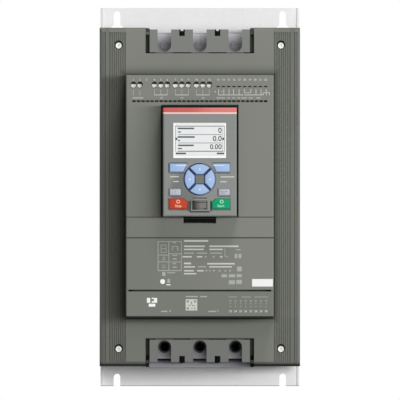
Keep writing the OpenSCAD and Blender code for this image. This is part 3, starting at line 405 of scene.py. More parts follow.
# %% Plastics of the pieces
unit_plastic = moulded("unit_plastic_grain", tone(129, 131, 124), rough=0.55, second=tone(84, 85, 81),
                       where=unit_painted_shade)
lower_plastic = moulded("lower_plastic_grain", tone(119, 121, 115), rough=0.55, second=tone(44, 45, 43),
                        where=foot_painted_shade)
shield_plastic = moulded("shield_plastic_grain", tone(127, 129, 125), second=tone(58, 59, 56),
                         where=shield_painted_shade)
tray_plastic = moulded("tray_plastic_grain", tone(20, 21, 22), rough=0.6, second=tone(151, 150, 156),
                       where=tray_light)
bezel_plastic = moulded("bezel_plastic_grain", tone(134, 137, 133), gloss=0.2, second=tone(84, 86, 84),
                        where=bezel_painted_shadow)
flap_plastic = moulded("flap_plastic_grain", tone(122, 122, 117), second=tone(40, 40, 39), where=flap_dusk)
dress(unit_plastic, "control_housing", "label_cover")
dress(lower_plastic, "lower_cover")
dress(shield_plastic, "line_shield", "motor_shield")
dress(tray_plastic, "line_tray", "motor_tray")
dress(bezel_plastic, "panel_bezel")
dress(flap_plastic, "usb_cover")
dress(moulded("case_plastic_grain", tone(70, 71, 68), rough=0.6), "rear_case")
dress(moulded("terminal_plastic_grain", tone(52, 54, 54), gloss=0.2), "supply_terminal", "lower_terminal",
      "data_jacks", *(f"relay_terminal_{i}" for i in (1, 2, 3)))
dress(moulded("spring_plastic_grain", tone(96, 98, 94)), "signal_terminal")
dress(moulded("module_plastic_grain", tone(32, 33, 34)),
      *(f"{kind}_{i}" for kind in ("thyristor", "bypass") for i in (1, 2, 3)))
dress(moulded("sensor_plastic_grain", tone(28, 40, 92), rough=0.45),
      *(f"current_sensor_{i}" for i in (1, 2, 3)))
dress(moulded("fan_plastic_grain", tone(38, 39, 40), rough=0.45),
      "fan_frame_left", "fan_frame_right", "fan_rotor_left", "fan_rotor_right")
dress(moulded("panel_black_grain", tone(9, 9, 9), rough=0.55, gloss=0.04), "panel_back", "panel_socket")
print("plastics:", sum(1 for m in bpy.data.materials if m.name.endswith("_grain")))

# %% [markdown]
# Metal shows how it was made. Rolled and extruded pieces carry fine lines along their length, which a
# noise stretched through a Mapping node gives. An anisotropic shader would shape the gloss as well, but
# these pieces are too small in the picture to show it. Painted light makes the busbars paler towards their
# outer ends.

# %% Drawn metal
def drawn_metal(name, colour, rough, stretch, metal=1.0, second=None, where=None):
    material, first, place = begin(name)
    lines = first.node("Mapping", {}, {"Vector": place, "Scale": stretch})
    streak = noise(first, lines, 1.0, 3.0)
    cloud = noise(first, place, 35.0)
    share = streak * 0.6 + cloud * 0.4
    tint = share.mix(shade(colour, 0.86), shade(colour, 1.08))
    if where:
        tint = where(*axes(first, place)).mix(tint, second)
    close(first, {
        "Base Color": tint,
        "Metallic": metal,
        "Roughness": streak * 0.2 + rough,
        "Normal": bump(first, streak, 0.15, 0.04 * MM),
    })
    return material


def painted_light_end(x, y, z):
    """Painted light on the outer end of a busbar, fully pale on the line side and less so on the motor
    side.
    """
    return z.size().ramp(152 * MM, 164 * MM) * (1 - z.below(0.0) * 0.6)


busbar_metal = drawn_metal("busbar_metal_lines", tone(112, 111, 118), rough=0.4,
                           stretch=(700.0, 700.0, 20.0), metal=0.3, second=tone(196, 196, 198),
                           where=painted_light_end)
dress(busbar_metal, *(f"{kind}_bar_{i}" for kind in ("line", "motor") for i in (1, 2, 3)))
sink_aluminium = drawn_metal("sink_aluminium_lines", tone(206, 208, 210), rough=0.28,
                             stretch=(900.0, 900.0, 12.0))
dress(sink_aluminium, "heat_sink")
print("drawn metals: busbars, heat sink")

# %% [markdown]
# Galvanised sheet has flat crystals instead of lines, and Voronoi cells give those. The plate has
# painted shade along the upper left fold and painted light over the lower half, a painted shadow below
# the body on the right, and a darker strip along its lower edge. One flat grey would look like paint.

# %% Galvanised plate
FLAKES = 140.0


def galvanised(name, colour):
    material, first, place = begin(name)
    cells = first.node("TexVoronoi", {"feature": "F1"}, {"Vector": place, "Scale": FLAKES}, out="Color")
    flake = first.node("SeparateColor", {}, {"Color": cells}, out=0)
    fine = noise(first, place, 900.0)
    share = flake * 0.5 + fine * 0.5
    across, deep, up = axes(first, place)
    zinc = share.mix(shade(colour, 0.95), shade(colour, 1.03))
    # Painted shade along the upper left fold, painted light over the lower half and painted shadow below
    # the body on the right.
    fold_painted_shade = across.ramp(-90 * MM, -98 * MM) * up.ramp(0.0, 100 * MM)
    lower_painted_light = up.ramp(0.0, -100 * MM) * across.below(97.7 * MM)
    shadow_below_body = up.ramp(-179 * MM, -172 * MM) * up.below(-166 * MM) * deep.below(-1 * MM)
    right_painted_shadow = shadow_below_body * across.ramp(0.0, 70 * MM) * across.ramp(97 * MM, 88 * MM)
    zinc = fold_painted_shade.mix(zinc, shade(colour, 0.85))
    zinc = lower_painted_light.mix(zinc, share.mix((0.94, 0.94, 0.94, 1), WHITE))
    zinc = (right_painted_shadow * 0.5).mix(zinc, shade(colour, 0.2))
    lower_edge_strip = up.ramp(-189.2 * MM, -189.5 * MM)
    close(first, {
        "Base Color": lower_edge_strip.mix(zinc, shade(colour, 0.4)),
        "Metallic": 0.05,
        "Roughness": flake * 0.12 + 0.5,
        "Specular IOR Level": 0.2,
        "Normal": bump(first, fine, 0.1, 0.03 * MM),
    })
    return material


dress(galvanised("plate_steel_flakes", tone(235, 235, 235)), "back_plate")
print("zinc flakes in mm:", round(1 / FLAKES / MM, 1))

# %% [markdown]
# The screws are pale steel. A shadow is painted round the rim of a cover screw's head, with a faint darker
# ring about its socket, and over the upper part of a terminal screw. Separate dark rings would be very
# thin pieces, so the shade is worked out from the distance to the nearest screw.

# %% Screws
FINE_LINES = (500.0, 500.0, 500.0)
SHADOW_BLACK = tone(24, 24, 24)
SCREW_X = 80.75 * MM
SCREW_TOP = 150.6 * MM
SCREW_FOOT = -151.4 * MM


def head_painted_shadow(x, y, z):
    """Painted shadow round the rim of a cover screw's head, and a faint darker ring about its socket."""
    dx = x.size() - SCREW_X
    dz = (z - SCREW_TOP).size().at_most((z - SCREW_FOOT).size())
    spread = dx * dx + dz * dz
    ring = spread.ramp((0.7 * MM) ** 2, (0.9 * MM) ** 2) - spread.ramp((1.3 * MM) ** 2, (1.6 * MM) ** 2)
    return spread.ramp((2.7 * MM) ** 2, (3.1 * MM) ** 2).at_least(ring * 0.25)


def terminal_painted_shadow(x, y, z):
    """Painted shadow over the upper part of a terminal screw's head."""
    return z.ramp(111.4 * MM, 112.2 * MM)


def screw_metal(name, colour, metal=0.1, where=None):
    return drawn_metal(name, colour, rough=0.4, stretch=FINE_LINES, metal=metal, second=SHADOW_BLACK,
                       where=where)


dress(screw_metal("screw_steel_lines", tone(228, 228, 226)), "plate_screws")
dress(screw_metal("cover_screw_lines", tone(246, 246, 244), where=head_painted_shadow), "cover_screws")
dress(screw_metal("terminal_screw_lines", tone(255, 255, 253), metal=0.3, where=terminal_painted_shadow),
      "terminal_screws")
print("metals:", sum(1 for m in bpy.data.materials if m.name.endswith(("_lines", "_flakes"))))

# %% [markdown]
# The hole in each line busbar is closed by the captive nut behind it, which ends almost flush with the
# bar. A nut could be a plain disc, but its worn face has a rim. So the disc's edge is bevelled, and its
# middle is drawn in and pushed back a little. One nut is made and copied to each phase.

# %% Captive nuts
PHASES = (-35.3 * MM, 0.0, 35.3 * MM)
BAR_FRONT = -165 * MM
LINE_HOLE = 151.5 * MM
NUT_DEPTH = 3 * MM


def only(piece):
    bpy.ops.object.select_all(action="DESELECT")
    piece.select_set(True)
    bpy.context.view_layer.objects.active = piece


def pick_faces(test):
    """Selects the faces of the mesh being edited whose normal passes the test."""
    shape = bmesh.from_edit_mesh(bpy.context.object.data)
    for face in shape.faces:
        face.select_set(test(face.normal))
    shape.select_flush_mode()
    bmesh.update_edit_mesh(bpy.context.object.data)


def finish_piece(piece, material, body):
    piece.data.materials.clear()
    piece.data.materials.append(material)
    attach(piece, body)


def captive_nut():
    middle_y = BAR_FRONT + 0.1 * MM + NUT_DEPTH / 2
    bpy.ops.object.select_all(action="DESELECT")
    bpy.ops.mesh.primitive_cylinder_add(
        vertices=40, radius=4.46 * MM, depth=NUT_DEPTH, location=(0, middle_y, LINE_HOLE),
        rotation=(math.pi / 2, 0, 0))
    nut = bpy.context.object
    bpy.ops.object.transform_apply(location=True, rotation=True, scale=True)
    bpy.ops.object.mode_set(mode="EDIT")
    bpy.ops.mesh.select_mode(type="FACE")
    pick_faces(lambda normal: normal.y < -0.5)
    bpy.ops.mesh.bevel(offset=0.1 * MM, segments=2)
    pick_faces(lambda normal: normal.y < -0.98)
    bpy.ops.mesh.inset(thickness=1.2 * MM)
    bpy.ops.transform.translate(value=(0, 0.15 * MM, 0))
    bpy.ops.object.mode_set(mode="OBJECT")
    bpy.ops.object.shade_smooth_by_angle(angle=math.radians(40))
    return nut


master_nut = captive_nut()
for i, x in enumerate(PHASES):
    nut = bpy.data.objects.new(f"line_nut_{i + 1}", master_nut.data.copy())
    bpy.context.scene.collection.objects.link(nut)
    only(nut)
    bpy.ops.transform.translate(value=(x, 0, 0))
    bpy.ops.object.transform_apply(location=True, rotation=True, scale=True)
    finish_piece(nut, busbar_metal, "base")
bpy.data.objects.remove(master_nut)
print("captive nuts:", len(PHASES))

# %% [markdown]
# The motor busbars keep their holes open, and a dark ring of painted shade lies round each hole. A thin
# tube from a spin would do. A disc whose middle is inset and taken out, pulled back to give it a
# thickness, takes fewer steps.

# %% Rings round the motor holes
MOTOR_HOLE = -149.5 * MM
RING_THICK = 0.1 * MM


def flat_ring(x, z, radius, width, front, thick):
    bpy.ops.object.select_all(action="DESELECT")
    bpy.ops.mesh.primitive_circle_add(
        vertices=32, radius=radius, fill_type="NGON", location=(x, front, z), rotation=(math.pi / 2, 0, 0))
    ring = bpy.context.object
    bpy.ops.object.transform_apply(location=True, rotation=True, scale=True)
    bpy.ops.object.mode_set(mode="EDIT")
    bpy.ops.mesh.select_mode(type="FACE")
    bpy.ops.mesh.select_all(action="SELECT")
    bpy.ops.mesh.inset(thickness=width)
    bpy.ops.mesh.delete(type="FACE")
    bpy.ops.mesh.select_all(action="SELECT")
    bpy.ops.mesh.extrude_region_move(TRANSFORM_OT_translate={"value": (0, thick, 0)})
    bpy.ops.object.mode_set(mode="OBJECT")
    return ring


# Each dark ring is painted shade round a motor hole.
hole_ring_shade = drawn_metal("ring_oxide_lines", tone(34, 34, 35), rough=0.5, stretch=FINE_LINES, metal=0.1)
for i, x in enumerate(PHASES):
    ring = flat_ring(x, MOTOR_HOLE, 6.0 * MM, 1.45 * MM, BAR_FRONT - RING_THICK, RING_THICK)
    ring.name = f"motor_hole_ring_{i + 1}"
    finish_piece(ring, hole_ring_shade, "base")
print("motor hole rings:", len(PHASES))

# %% [markdown]
# A circuit board is glass cloth under green lacquer. Flat green would do at a distance. Two crossed waves
# show the cloth through the lacquer, for anyone who takes the unit apart.

# %% Circuit boards
CLOTH = 260.0


def laminate(name, colour):
    material, first, place = begin(name)
    across = first.node("TexWave", {"bands_direction": "X"}, {"Vector": place, "Scale": CLOTH})
    along = first.node("TexWave", {"bands_direction": "Z"}, {"Vector": place, "Scale": CLOTH})
    weave = across * 0.5 + along * 0.5
    close(first, {
        "Base Color": weave.mix(shade(colour, 0.85), shade(colour, 1.1)),
        "Roughness": weave * 0.1 + 0.3,
        "Normal": bump(first, weave, 0.1, 0.03 * MM),
    })
    return material


dress(laminate("board_laminate_weave", tone(12, 44, 28)), "power_board", "control_board", "panel_board")
print("boards: 3")

# %% [markdown]
# The keys, the rubber mat and the insert round the arrow keys are satin mouldings, glossier than the
# housing and with a finer grain. The housing's plastic would make them look dry. The screen uses this
# finish too, with a little glow.

# %% Key finishes
def satin(name, colour, rough=0.38, gloss=0.5, glow=0.0, second=None, where=None):
    material, first, place = begin(name)
    fine = noise(first, place, 3200.0)
    broad = noise(first, place, 90.0)
    tint = broad.mix(shade(colour, 0.95), shade(colour, 1.04))
    if where:
        tint = where(*axes(first, place)).mix(tint, second)
    close(first, {
        "Base Color": tint,
        "Roughness": fine * 0.12 + rough,
        "Specular IOR Level": gloss,
        "Normal": bump(first, fine, 0.12, 0.03 * MM),
        "Emission Color": WHITE,
        "Emission Strength": glow,
    })
    return material


ARROWS_Z = 17.5 * MM


def arrow_rim_painted_light(x, y, z):
    """Painted light on the right half of the ring's rim, which is paler."""
    dz = z - ARROWS_Z
    return (x * x + dz * dz).ramp((15.1 * MM) ** 2, (15.3 * MM) ** 2) * x.ramp(0.0, 6 * MM) * 0.7


dress(satin("mat_rubber_satin", tone(26, 34, 60), rough=0.6, gloss=0.2), "key_mat")
dress(satin("arrow_plastic_satin", tone(34, 48, 88), rough=0.5, gloss=0.2, second=tone(132, 136, 138),
            where=arrow_rim_painted_light), "arrow_frame")
KEY_FINISHES = {
    "key_blue": satin("key_blue_satin", tone(153, 181, 222)),
    "key_grey": satin("key_grey_satin", tone(175, 178, 189)),
    "key_red": satin("key_red_satin", tone(190, 66, 38), rough=0.45, gloss=0.12),
    "key_green": satin("key_green_satin", tone(7, 157, 107), rough=0.45, gloss=0.12),
}
print("key finishes:", len(KEY_FINISHES))

# %% [markdown]
# Light runs along the rounded upper edges of a key. A Bevel node would round them in the shader alone,
# and their outline would stay sharp. So each CAD key is copied, its loose triangles are merged, and a
# Bevel modifier rounds its edges before the copy takes the key's place.

# %% Rounded keys
KEY_SLOTS = {
    "key_menu_left": "key_blue", "key_menu_right": "key_blue", "key_up": "key_blue", "key_down": "key_blue",
    "key_left": "key_blue", "key_right": "key_blue", "key_help": "key_grey", "key_mode": "key_grey",
    "key_stop": "key_red", "key_start": "key_green",
}
KEY_ROUNDING = 0.25 * MM


def softened(node, radius):
    """A copy of a CAD node with its edges rounded, ready to take the node's place."""
    piece = bpy.data.objects.new(node + "_soft", nodes[node].data.copy())
    bpy.context.scene.collection.objects.link(piece)
    only(piece)
    bpy.ops.object.mode_set(mode="EDIT")
    bpy.ops.mesh.select_all(action="SELECT")
    bpy.ops.mesh.remove_doubles(threshold=0.002 * MM)
    bpy.ops.mesh.dissolve_limited(angle_limit=math.radians(2))
    bpy.ops.object.mode_set(mode="OBJECT")
    rounding = piece.modifiers.new("rounding", "BEVEL")
    rounding.width = radius
    rounding.segments = 3
    rounding.angle_limit = math.radians(25)
    bpy.ops.object.modifier_apply(modifier="rounding")
    bpy.ops.object.shade_smooth_by_angle(angle=math.radians(40))
    return piece


for key, slot in KEY_SLOTS.items():
    cap = softened(key, KEY_ROUNDING)
    finish_piece(cap, KEY_FINISHES[slot], key)
    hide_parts(key)
print("rounded keys:", len(KEY_SLOTS))

# %% [markdown]
# Print is a film of ink. It could be a picture on the surface, but a mesh stays sharp from any distance.
# One master bar is made from a cube: its front is drawn in a little, so that the film has a sloping edge,
# and its hidden back is taken off. Copies of it, stretched and joined, make every line and field.

# %% The master ink bar
INK = 0.08 * MM
DRAWN_IN = 0.94
bpy.ops.object.select_all(action="DESELECT")
bpy.ops.mesh.primitive_cube_add(size=1)
ink_bar = bpy.context.object
ink_bar.name = "ink_bar"
bpy.ops.object.mode_set(mode="EDIT")
bpy.ops.mesh.select_mode(type="FACE")
pick_faces(lambda normal: normal.y < -0.5)
bpy.ops.transform.resize(value=(DRAWN_IN, 1.0, DRAWN_IN))
pick_faces(lambda normal: normal.y > 0.5)
bpy.ops.mesh.delete(type="FACE")
bpy.ops.object.mode_set(mode="OBJECT")
print("ink bar faces:", len(ink_bar.data.polygons))

# %% [markdown]
# Two helpers lay print on a plane that faces the front: one takes fields, and one takes words. Words are
# text turned into mesh, so the part needs no font. All that shares an ink and a body is joined into one
# piece.

# %% Printed fields and words
def joined(name, parts):
    bpy.ops.object.select_all(action="DESELECT")
    for part in parts:
        part.select_set(True)
    bpy.context.view_layer.objects.active = parts[0]
    if len(parts) > 1:
        bpy.ops.object.join()
    whole = bpy.context.object
    whole.name = name
    bpy.ops.object.transform_apply(location=True, rotation=True, scale=True)
    return whole


def printed(name, bars, front, material, body, film=INK):
    """Fields of ink, each given in mm as middle x, middle z, width and height, on the plane y = front."""
    parts = []
    for x, z, width, height in bars:
        part = bpy.data.objects.new(name, ink_bar.data.copy())
        bpy.context.scene.collection.objects.link(part)
        part.location = (x * MM, front - film * 0.4, z * MM)
        part.scale = (width * MM, film, height * MM)
        parts.append(part)
    finish_piece(joined(name, parts), material, body)
    print(name, "fields:", len(bars))


def lettered(name, words, front, material, body, weight=0.0):
    """Words, each given as text, x, z, letter size in mm and alignment, on the plane y = front."""
    parts = []
    for text, x, z, size, align in words:
        bpy.ops.object.select_all(action="DESELECT")
        bpy.ops.object.text_add(location=(x * MM, front, z * MM), rotation=(math.pi / 2, 0, 0))
        word = bpy.context.object
        word.data.body = text
        word.data.size = size * MM
        word.data.align_x = align
        word.data.align_y = "CENTER"
        word.data.extrude = INK / 2
        word.data.offset = weight
        word.data.resolution_u = 4
        bpy.ops.object.convert(target="MESH")
        parts.append(bpy.context.object)
    finish_piece(joined(name, parts), material, body)
    print(name, "words:", len(words))


def ink(name, colour):
    """Ink is matt and slightly uneven, as screen print is."""
    material, first, place = begin(name)
    mesh_mark = noise(first, place, 1500.0)
    close(first, {
        "Base Color": mesh_mark.mix(shade(colour, 0.92), shade(colour, 1.03)),
        "Roughness": mesh_mark * 0.15 + 0.5,
        "Specular IOR Level": 0.2,
    })
    return material


white_ink = ink("white_ink", tone(245, 246, 243))
pale_ink = ink("pale_ink", tone(206, 207, 200))
faint_ink = ink("faint_ink", tone(172, 174, 168))
dim_ink = ink("dim_ink", tone(150, 152, 146))
grey_ink = ink("grey_ink", tone(128, 131, 135))
dark_ink = ink("dark_ink", tone(52, 55, 60))
print("inks:", sum(1 for m in bpy.data.materials if m.name.endswith("_ink")))

# %% [markdown]
# The panel's head carries a red band between a black edge and a pale line. The pale line is a painted
# highlight, and painted light makes the red band paler to the right. A printed field would stop at
# the bezel's rounded front corners. Each band is therefore a shallow box over the head, with its two
# front upright edges bevelled to the bezel's own radius.

# %% Head bands
PANEL = -277 * MM
BEZEL_CORNER = 1.8 * MM
BAND_DEPTH = 9 * MM
bezel_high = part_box("panel_bezel")[1]


def band(name, low, high, proud, material):
    half = bezel_high.x + proud
    back = PANEL + BAND_DEPTH
    front = PANEL - proud
    bpy.ops.object.select_all(action="DESELECT")
    bpy.ops.mesh.primitive_cube_add(size=1, location=(0, (front + back) / 2, (low + high) / 2))
    made = bpy.context.object
    made.scale = (2 * half, back - front, high - low)
    bpy.ops.object.transform_apply(location=True, rotation=True, scale=True)
    bpy.ops.object.mode_set(mode="EDIT")
    bpy.ops.mesh.select_mode(type="EDGE")
    shape = bmesh.from_edit_mesh(made.data)
    for edge in shape.edges:
        ends = [point.co for point in edge.verts]
        upright = abs(ends[0].z - ends[1].z) > (high - low) / 2
        edge.select_set(upright and ends[0].y < (front + back) / 2)
    bmesh.update_edit_mesh(made.data)
    bpy.ops.mesh.bevel(offset=BEZEL_CORNER + proud, segments=6)
    bpy.ops.object.mode_set(mode="OBJECT")
    bpy.ops.object.shade_smooth_by_angle(angle=math.radians(40))
    made.name = name
    finish_piece(made, material, "panel")


def band_painted_light(x, y, z):
    """Painted light on the right half of the red band, which is a little paler."""
    return x.ramp(-8 * MM, 14 * MM)


band_red = satin("band_red", tone(199, 94, 90), rough=0.5, gloss=0.3, second=tone(214, 121, 114),
                 where=band_painted_light)
# The pale line under the red band is a painted highlight.
band_highlight = satin("band_highlight", tone(236, 204, 198), rough=0.5, gloss=0.2)
band_black = satin("band_black", tone(12, 12, 12), rough=0.5, gloss=0.1)
band("head_edge", 88.5 * MM, 90.75 * MM, 0.1 * MM, band_black)
band("head_band", 83.9 * MM, 88.5 * MM, 0.1 * MM, band_red)
band("head_line", 82.2 * MM, 83.9 * MM, 0.12 * MM, band_highlight)
print("head bands: 3")

# %% [markdown]
# The screen is a white frame round a grey field, both lit a little from behind, with thin rules, short
# fields for its words, and plain figures. A picture of a screen would blur close up, so it is drawn with
# the same print.

# %% Screen
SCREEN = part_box("display")[0].y
SCREEN_INK = SCREEN - 0.02 * MM
display_pane = satin("display_pane_satin", tone(240, 241, 241), rough=0.3, gloss=0.3, glow=0.08)
screen_grey = satin("screen_grey_satin", tone(220, 222, 222), rough=0.3, gloss=0.3, glow=0.06)
word_ink = ink("word_ink", tone(90, 94, 99))
dress(display_pane, "display")
screen_rules = [
    (0.2, 70.1, 49.0, 0.6), (0.7, 45.3, 46.0, 0.7), (-24.3, 57.5, 0.4, 25.4), (24.5, 57.5, 0.4, 25.4),
    (-23.1, 57.5, 1.8, 2.2), (23.1, 57.5, 1.8, 2.2),
]
screen_lines = [(0.2, 61.8, 43.8, 0.6), (0.2, 53.5, 43.8, 0.6), (22.7, 57.3, 0.3, 22.9)]
screen_words = [
    (-13.8, 67.9, 16.7, 1.62), (-20.2, 64.4, 3.0, 1.22), (-13.5, 59.4, 17.3, 1.62),
    (-20.6, 56.0, 2.2, 1.22), (-13.8, 51.1, 15.9, 1.62), (-19.6, 48.0, 4.2, 1.22),
    (-18.7, 43.1, 10.3, 1.76), (20.5, 43.1, 7.6, 1.76),
]
screen_figures = [
    ("0", 21.8, 65.7, 7.2, "RIGHT"), ("0.0", 21.8, 57.6, 7.4, "RIGHT"),
    ("0.00", 21.8, 49.5, 6.9, "RIGHT"),
]
printed("screen_field", [(0.1, 56.3, 48.8, 31.8)], SCREEN, screen_grey, "panel", 0.04 * MM)
printed("screen_rules", screen_rules, SCREEN_INK, dark_ink, "panel")
printed("screen_lines", screen_lines, SCREEN_INK, grey_ink, "panel")
printed("screen_words", screen_words, SCREEN_INK, word_ink, "panel")
lettered("screen_figures", screen_figures, SCREEN_INK, dark_ink, "panel", 0.08 * MM)

# %% [markdown]
# Marks on the keys are print that moves with each cap. A triangle could be a letter of some font. It
# starts instead as a three-sided cylinder with its front drawn in, and a ring is made like those round
# the motor holes. The thin pale line on each menu key is the gleam along its cap.

# %% Marks on the keys
CAP = -278 * MM
icon_blue = ink("icon_blue", tone(226, 240, 255))
icon_red = ink("icon_red", tone(255, 196, 160))
icon_green = ink("icon_green", tone(170, 232, 205))
icon_grey = ink("icon_grey", tone(150, 140, 160))


def arrow_mark(key, turn):
    low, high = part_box(key)
    spot = (low + high) / 2
    bpy.ops.object.select_all(action="DESELECT")
    bpy.ops.mesh.primitive_cylinder_add(
        vertices=3, radius=1.3 * MM, depth=INK, location=(spot.x, CAP, spot.z),
        rotation=(math.pi / 2, turn, 0))
    mark = bpy.context.object
    bpy.ops.object.transform_apply(location=True, rotation=True, scale=True)
    bpy.ops.object.mode_set(mode="EDIT")
    bpy.ops.mesh.select_mode(type="FACE")
    pick_faces(lambda normal: normal.y < -0.5)
    bpy.ops.mesh.inset(thickness=0.06 * MM)
    bpy.ops.object.mode_set(mode="OBJECT")
    mark.name = key + "_mark"
    finish_piece(mark, icon_blue, key)


def ring_mark(key, x, z, material):
    mark = flat_ring(x * MM, z * MM, 1.9 * MM, 0.8 * MM, CAP - INK / 2, INK / 2)
    mark.name = key + "_ring"
    finish_piece(mark, material, key)


arrow_turns = {"key_up": 0, "key_down": math.pi, "key_left": math.pi / 2, "key_right": -math.pi / 2}
for key, turn in arrow_turns.items():
    arrow_mark(key, turn)
ring_mark("key_stop", -21.4, -4.6, icon_red)
ring_mark("key_start", 21.7, -4.6, icon_green)
stop_word = [("Stop", -21.3, -8.9, 3.5, "CENTER")]
start_word = [("Start", 20.8, -8.9, 3.5, "CENTER")]
lettered("stop_word", stop_word, CAP, icon_red, "key_stop", 0.07 * MM)
lettered("start_word", start_word, CAP, icon_green, "key_start", 0.07 * MM)
lettered("help_mark", [("?", -24.3, 4.6, 4.6, "CENTER")], CAP, icon_grey, "key_help")
printed("menu_left_gleam", [(-18.5, 31.3, 11.0, 0.7)], CAP, icon_blue, "key_menu_left")
printed("menu_right_gleam", [(18.7, 31.3, 11.4, 0.7)], CAP, icon_blue, "key_menu_right")
mode_mark = [(22.0, 5.6, 3.4, 0.7), (26.0, 5.6, 2.6, 0.7), (23.0, 3.8, 4.4, 0.7)]
printed("mode_mark", mode_mark, CAP, icon_grey, "key_mode")

# %% [markdown]
# Print on the panel itself stays where it is when a key is pressed: the hub between the arrows, the
# captions beside the keys, and a thin dark line on the finger tab below the bezel.

# %% Marks on the panel
HUB = -276.6 * MM
TAB = -251 * MM
hub_ink = ink("hub_ink", tone(115, 116, 108))
panel_words = [
    (-25.1, 20.1, 8.8, 1.1), (-23.6, 15.3, 5.3, 1.1), (27.4, 19.9, 13.7, 1.1), (23.4, 15.1, 6.2, 1.1),
]
printed("arrow_hub", [(0, ARROWS_Z / MM, 8.4, 8.4)], HUB, hub_ink, "panel")
printed("panel_words", panel_words, PANEL, pale_ink, "panel")
printed("tab_line", [(0, -21.2, 30.5, 0.5)], TAB, dark_ink, "panel")

# %% [markdown]
# Each key outside the ring of arrows lies in a moulded well, whose shaded wall is painted as a dark line
# under the key and mostly at its left too. The menu keys have such a line of painted shade above them as
# well. Grooves could be cut in the CAD bezel. At a fraction of a millimetre, thin dark fields look the
# same and leave the bezel whole.

# %% Key wells
def well(key, colour, reach=1.0, left=True, short=0.0, top=False):
    """Painted shade lines round a key: reach is their share of its width, short what the left one lacks in
    mm.
    """
    low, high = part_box(key)
    low, high = low / MM, high / MM
    across = (low.x + high.x) / 2
    length = (high.x - low.x) * reach
    bars = [(across, low.z - 0.3, length, 0.7)]
    if left:
        bars.append((low.x - 0.35, (low.z + high.z - short) / 2, 0.8, high.z - low.z - short))
    if top:
        bars.append((across, high.z + 0.3, length, 0.5))
    printed(key + "_well", bars, PANEL, ink(key + "_well_ink", colour), "panel")


well("key_menu_left", tone(30, 44, 86), reach=0.94, top=True)
well("key_menu_right", tone(30, 44, 86), reach=0.94, left=False, top=True)
well("key_help", tone(92, 90, 104))
well("key_mode", tone(92, 90, 104))
well("key_stop", tone(104, 38, 24))
well("key_start", tone(8, 70, 48), short=4.2)

# %% [markdown]
# The flap lies in a raised surround. Shade gathers round the surround's outside and along its foot and
# left side, its right and upper edges catch the light, and the flap has dark lines along its own edges,
# which swing with it.

# %% The flap's surround
SURROUND = -277.6 * MM
FLAP = -277.2 * MM
shade_ink = ink("shade_ink", tone(44, 45, 43))
soft_shade_ink = ink("soft_shade_ink", tone(82, 82, 79))
edge_ink = ink("edge_ink", tone(146, 148, 142))
surround_shade = [(-11.0, -8.9, 2.2, 10.4), (11.2, -8.9, 2.2, 10.4), (0, -1.1, 14.6, 1.2)]
surround_foot = [(0, -14.6, 19.6, 1.3), (-9.2, -8.9, 0.9, 9.8)]
surround_edge = [(9.2, -9.7, 0.7, 9.0), (0, -2.15, 13.6, 0.7)]
flap_shade = [(-6.6, -8.3, 1.2, 6.8), (6.9, -8.3, 0.6, 6.8), (0, -5.4, 14.2, 0.6), (0, -11.5, 14.2, 0.9)]
printed("surround_shade", surround_shade, PANEL, soft_shade_ink, "panel")
printed("surround_foot", surround_foot, SURROUND, shade_ink, "panel")
printed("surround_edge", surround_edge, SURROUND, edge_ink, "panel")
printed("flap_shade", flap_shade, FLAP, shade_ink, "usb_flap")

# %% [markdown]
# Above each terminal stands its number, and under it a thin diagram: brackets for the relay contacts, a
# comb for the signals. The lines could be curves with a thickness. As they are all level or upright, bars
# of ink will do.

# %% Terminal print
UNIT = -252 * MM
SCREW_PITCH = 6.4
NUMBER_ROW = 116.2
BRACKET_ROW = 101.2
CAPTION_ROW = 98.2
screw_spots = [-65.8, -59.4, -45.0, -38.6, -32.2, -24.2, -17.8, -11.4, -3.4, 3.1, 9.5]
spare_spot = -52.8
signal_spots = [18.1 + 5.25 * i for i in range(10)]


def unit_print(name, bars, material, film=INK):
    printed(name, bars, UNIT, material, "base", film)


def unit_numbers(name, numbers):
    lettered(name, numbers, UNIT, pale_ink, "base", 0.05 * MM)


number_spots = sorted(screw_spots + [spare_spot] + signal_spots)
terminal_numbers = [(str(i + 1), x, NUMBER_ROW, 2.8, "CENTER") for i, x in enumerate(number_spots)]
unit_numbers("terminal_numbers", terminal_numbers)

diagram = [(-65.8, 103.6, 0.6, 5.6), (-59.4, 103.6, 0.6, 5.6)]
brackets = []
for first_spot in (-45.0, -24.2, -3.4):
    diagram += [(first_spot + SCREW_PITCH * step, 104.0, 0.6, 5.6) for step in range(3)]
    brackets.append((first_spot + SCREW_PITCH, BRACKET_ROW, 13.4, 0.7))
comb = [(x, 104.0, 0.6, 6.0) for x in (18.6, 23.8, 28.9, 33.5, 38.9, 55.7, 60.7)]
signal_diagram = comb + [
    (44.2, 105.1, 0.6, 4.0), (50.6, 105.1, 0.6, 4.0), (30.7, BRACKET_ROW, 25.1, 0.7),
    (53.3, BRACKET_ROW, 18.2, 0.7), (47.4, 103.3, 7.1, 0.5), (65.9, 105.3, 0.6, 3.6),
    (65.9, 103.5, 6.8, 0.7), (62.8, 102.4, 0.7, 3.0), (65.9, 102.4, 0.7, 3.0), (69.0, 102.4, 0.7, 3.0),
    (15.2, 104.4, 1.2, 1.2), (21.6, 104.4, 0.9, 0.9),
]
caption_widths = {
    20.8: 8.6, 28.6: 2.9, 33.5: 3.0, 38.5: 3.0, 43.7: 5.4, 50.5: 4.1, 58.2: 4.2, -38.0: 2.8, -17.7: 2.8,
    3.3: 3.0, -61.3: 10.8,
}
unit_print("terminal_diagram", diagram, faint_ink)
unit_print("relay_brackets", brackets + signal_diagram, pale_ink)
captions = [(x, CAPTION_ROW, width, 1.3) for x, width in caption_widths.items()]
unit_print("terminal_captions", captions, faint_ink)

# %% [markdown]
# The label cover carries a small table, lines of fine print, a few small signs and a blank white label.
# At this size the words are only grey lines. Letters would add many thousands of faces and still not be
# readable, so each line is one plain bar as long as its words.

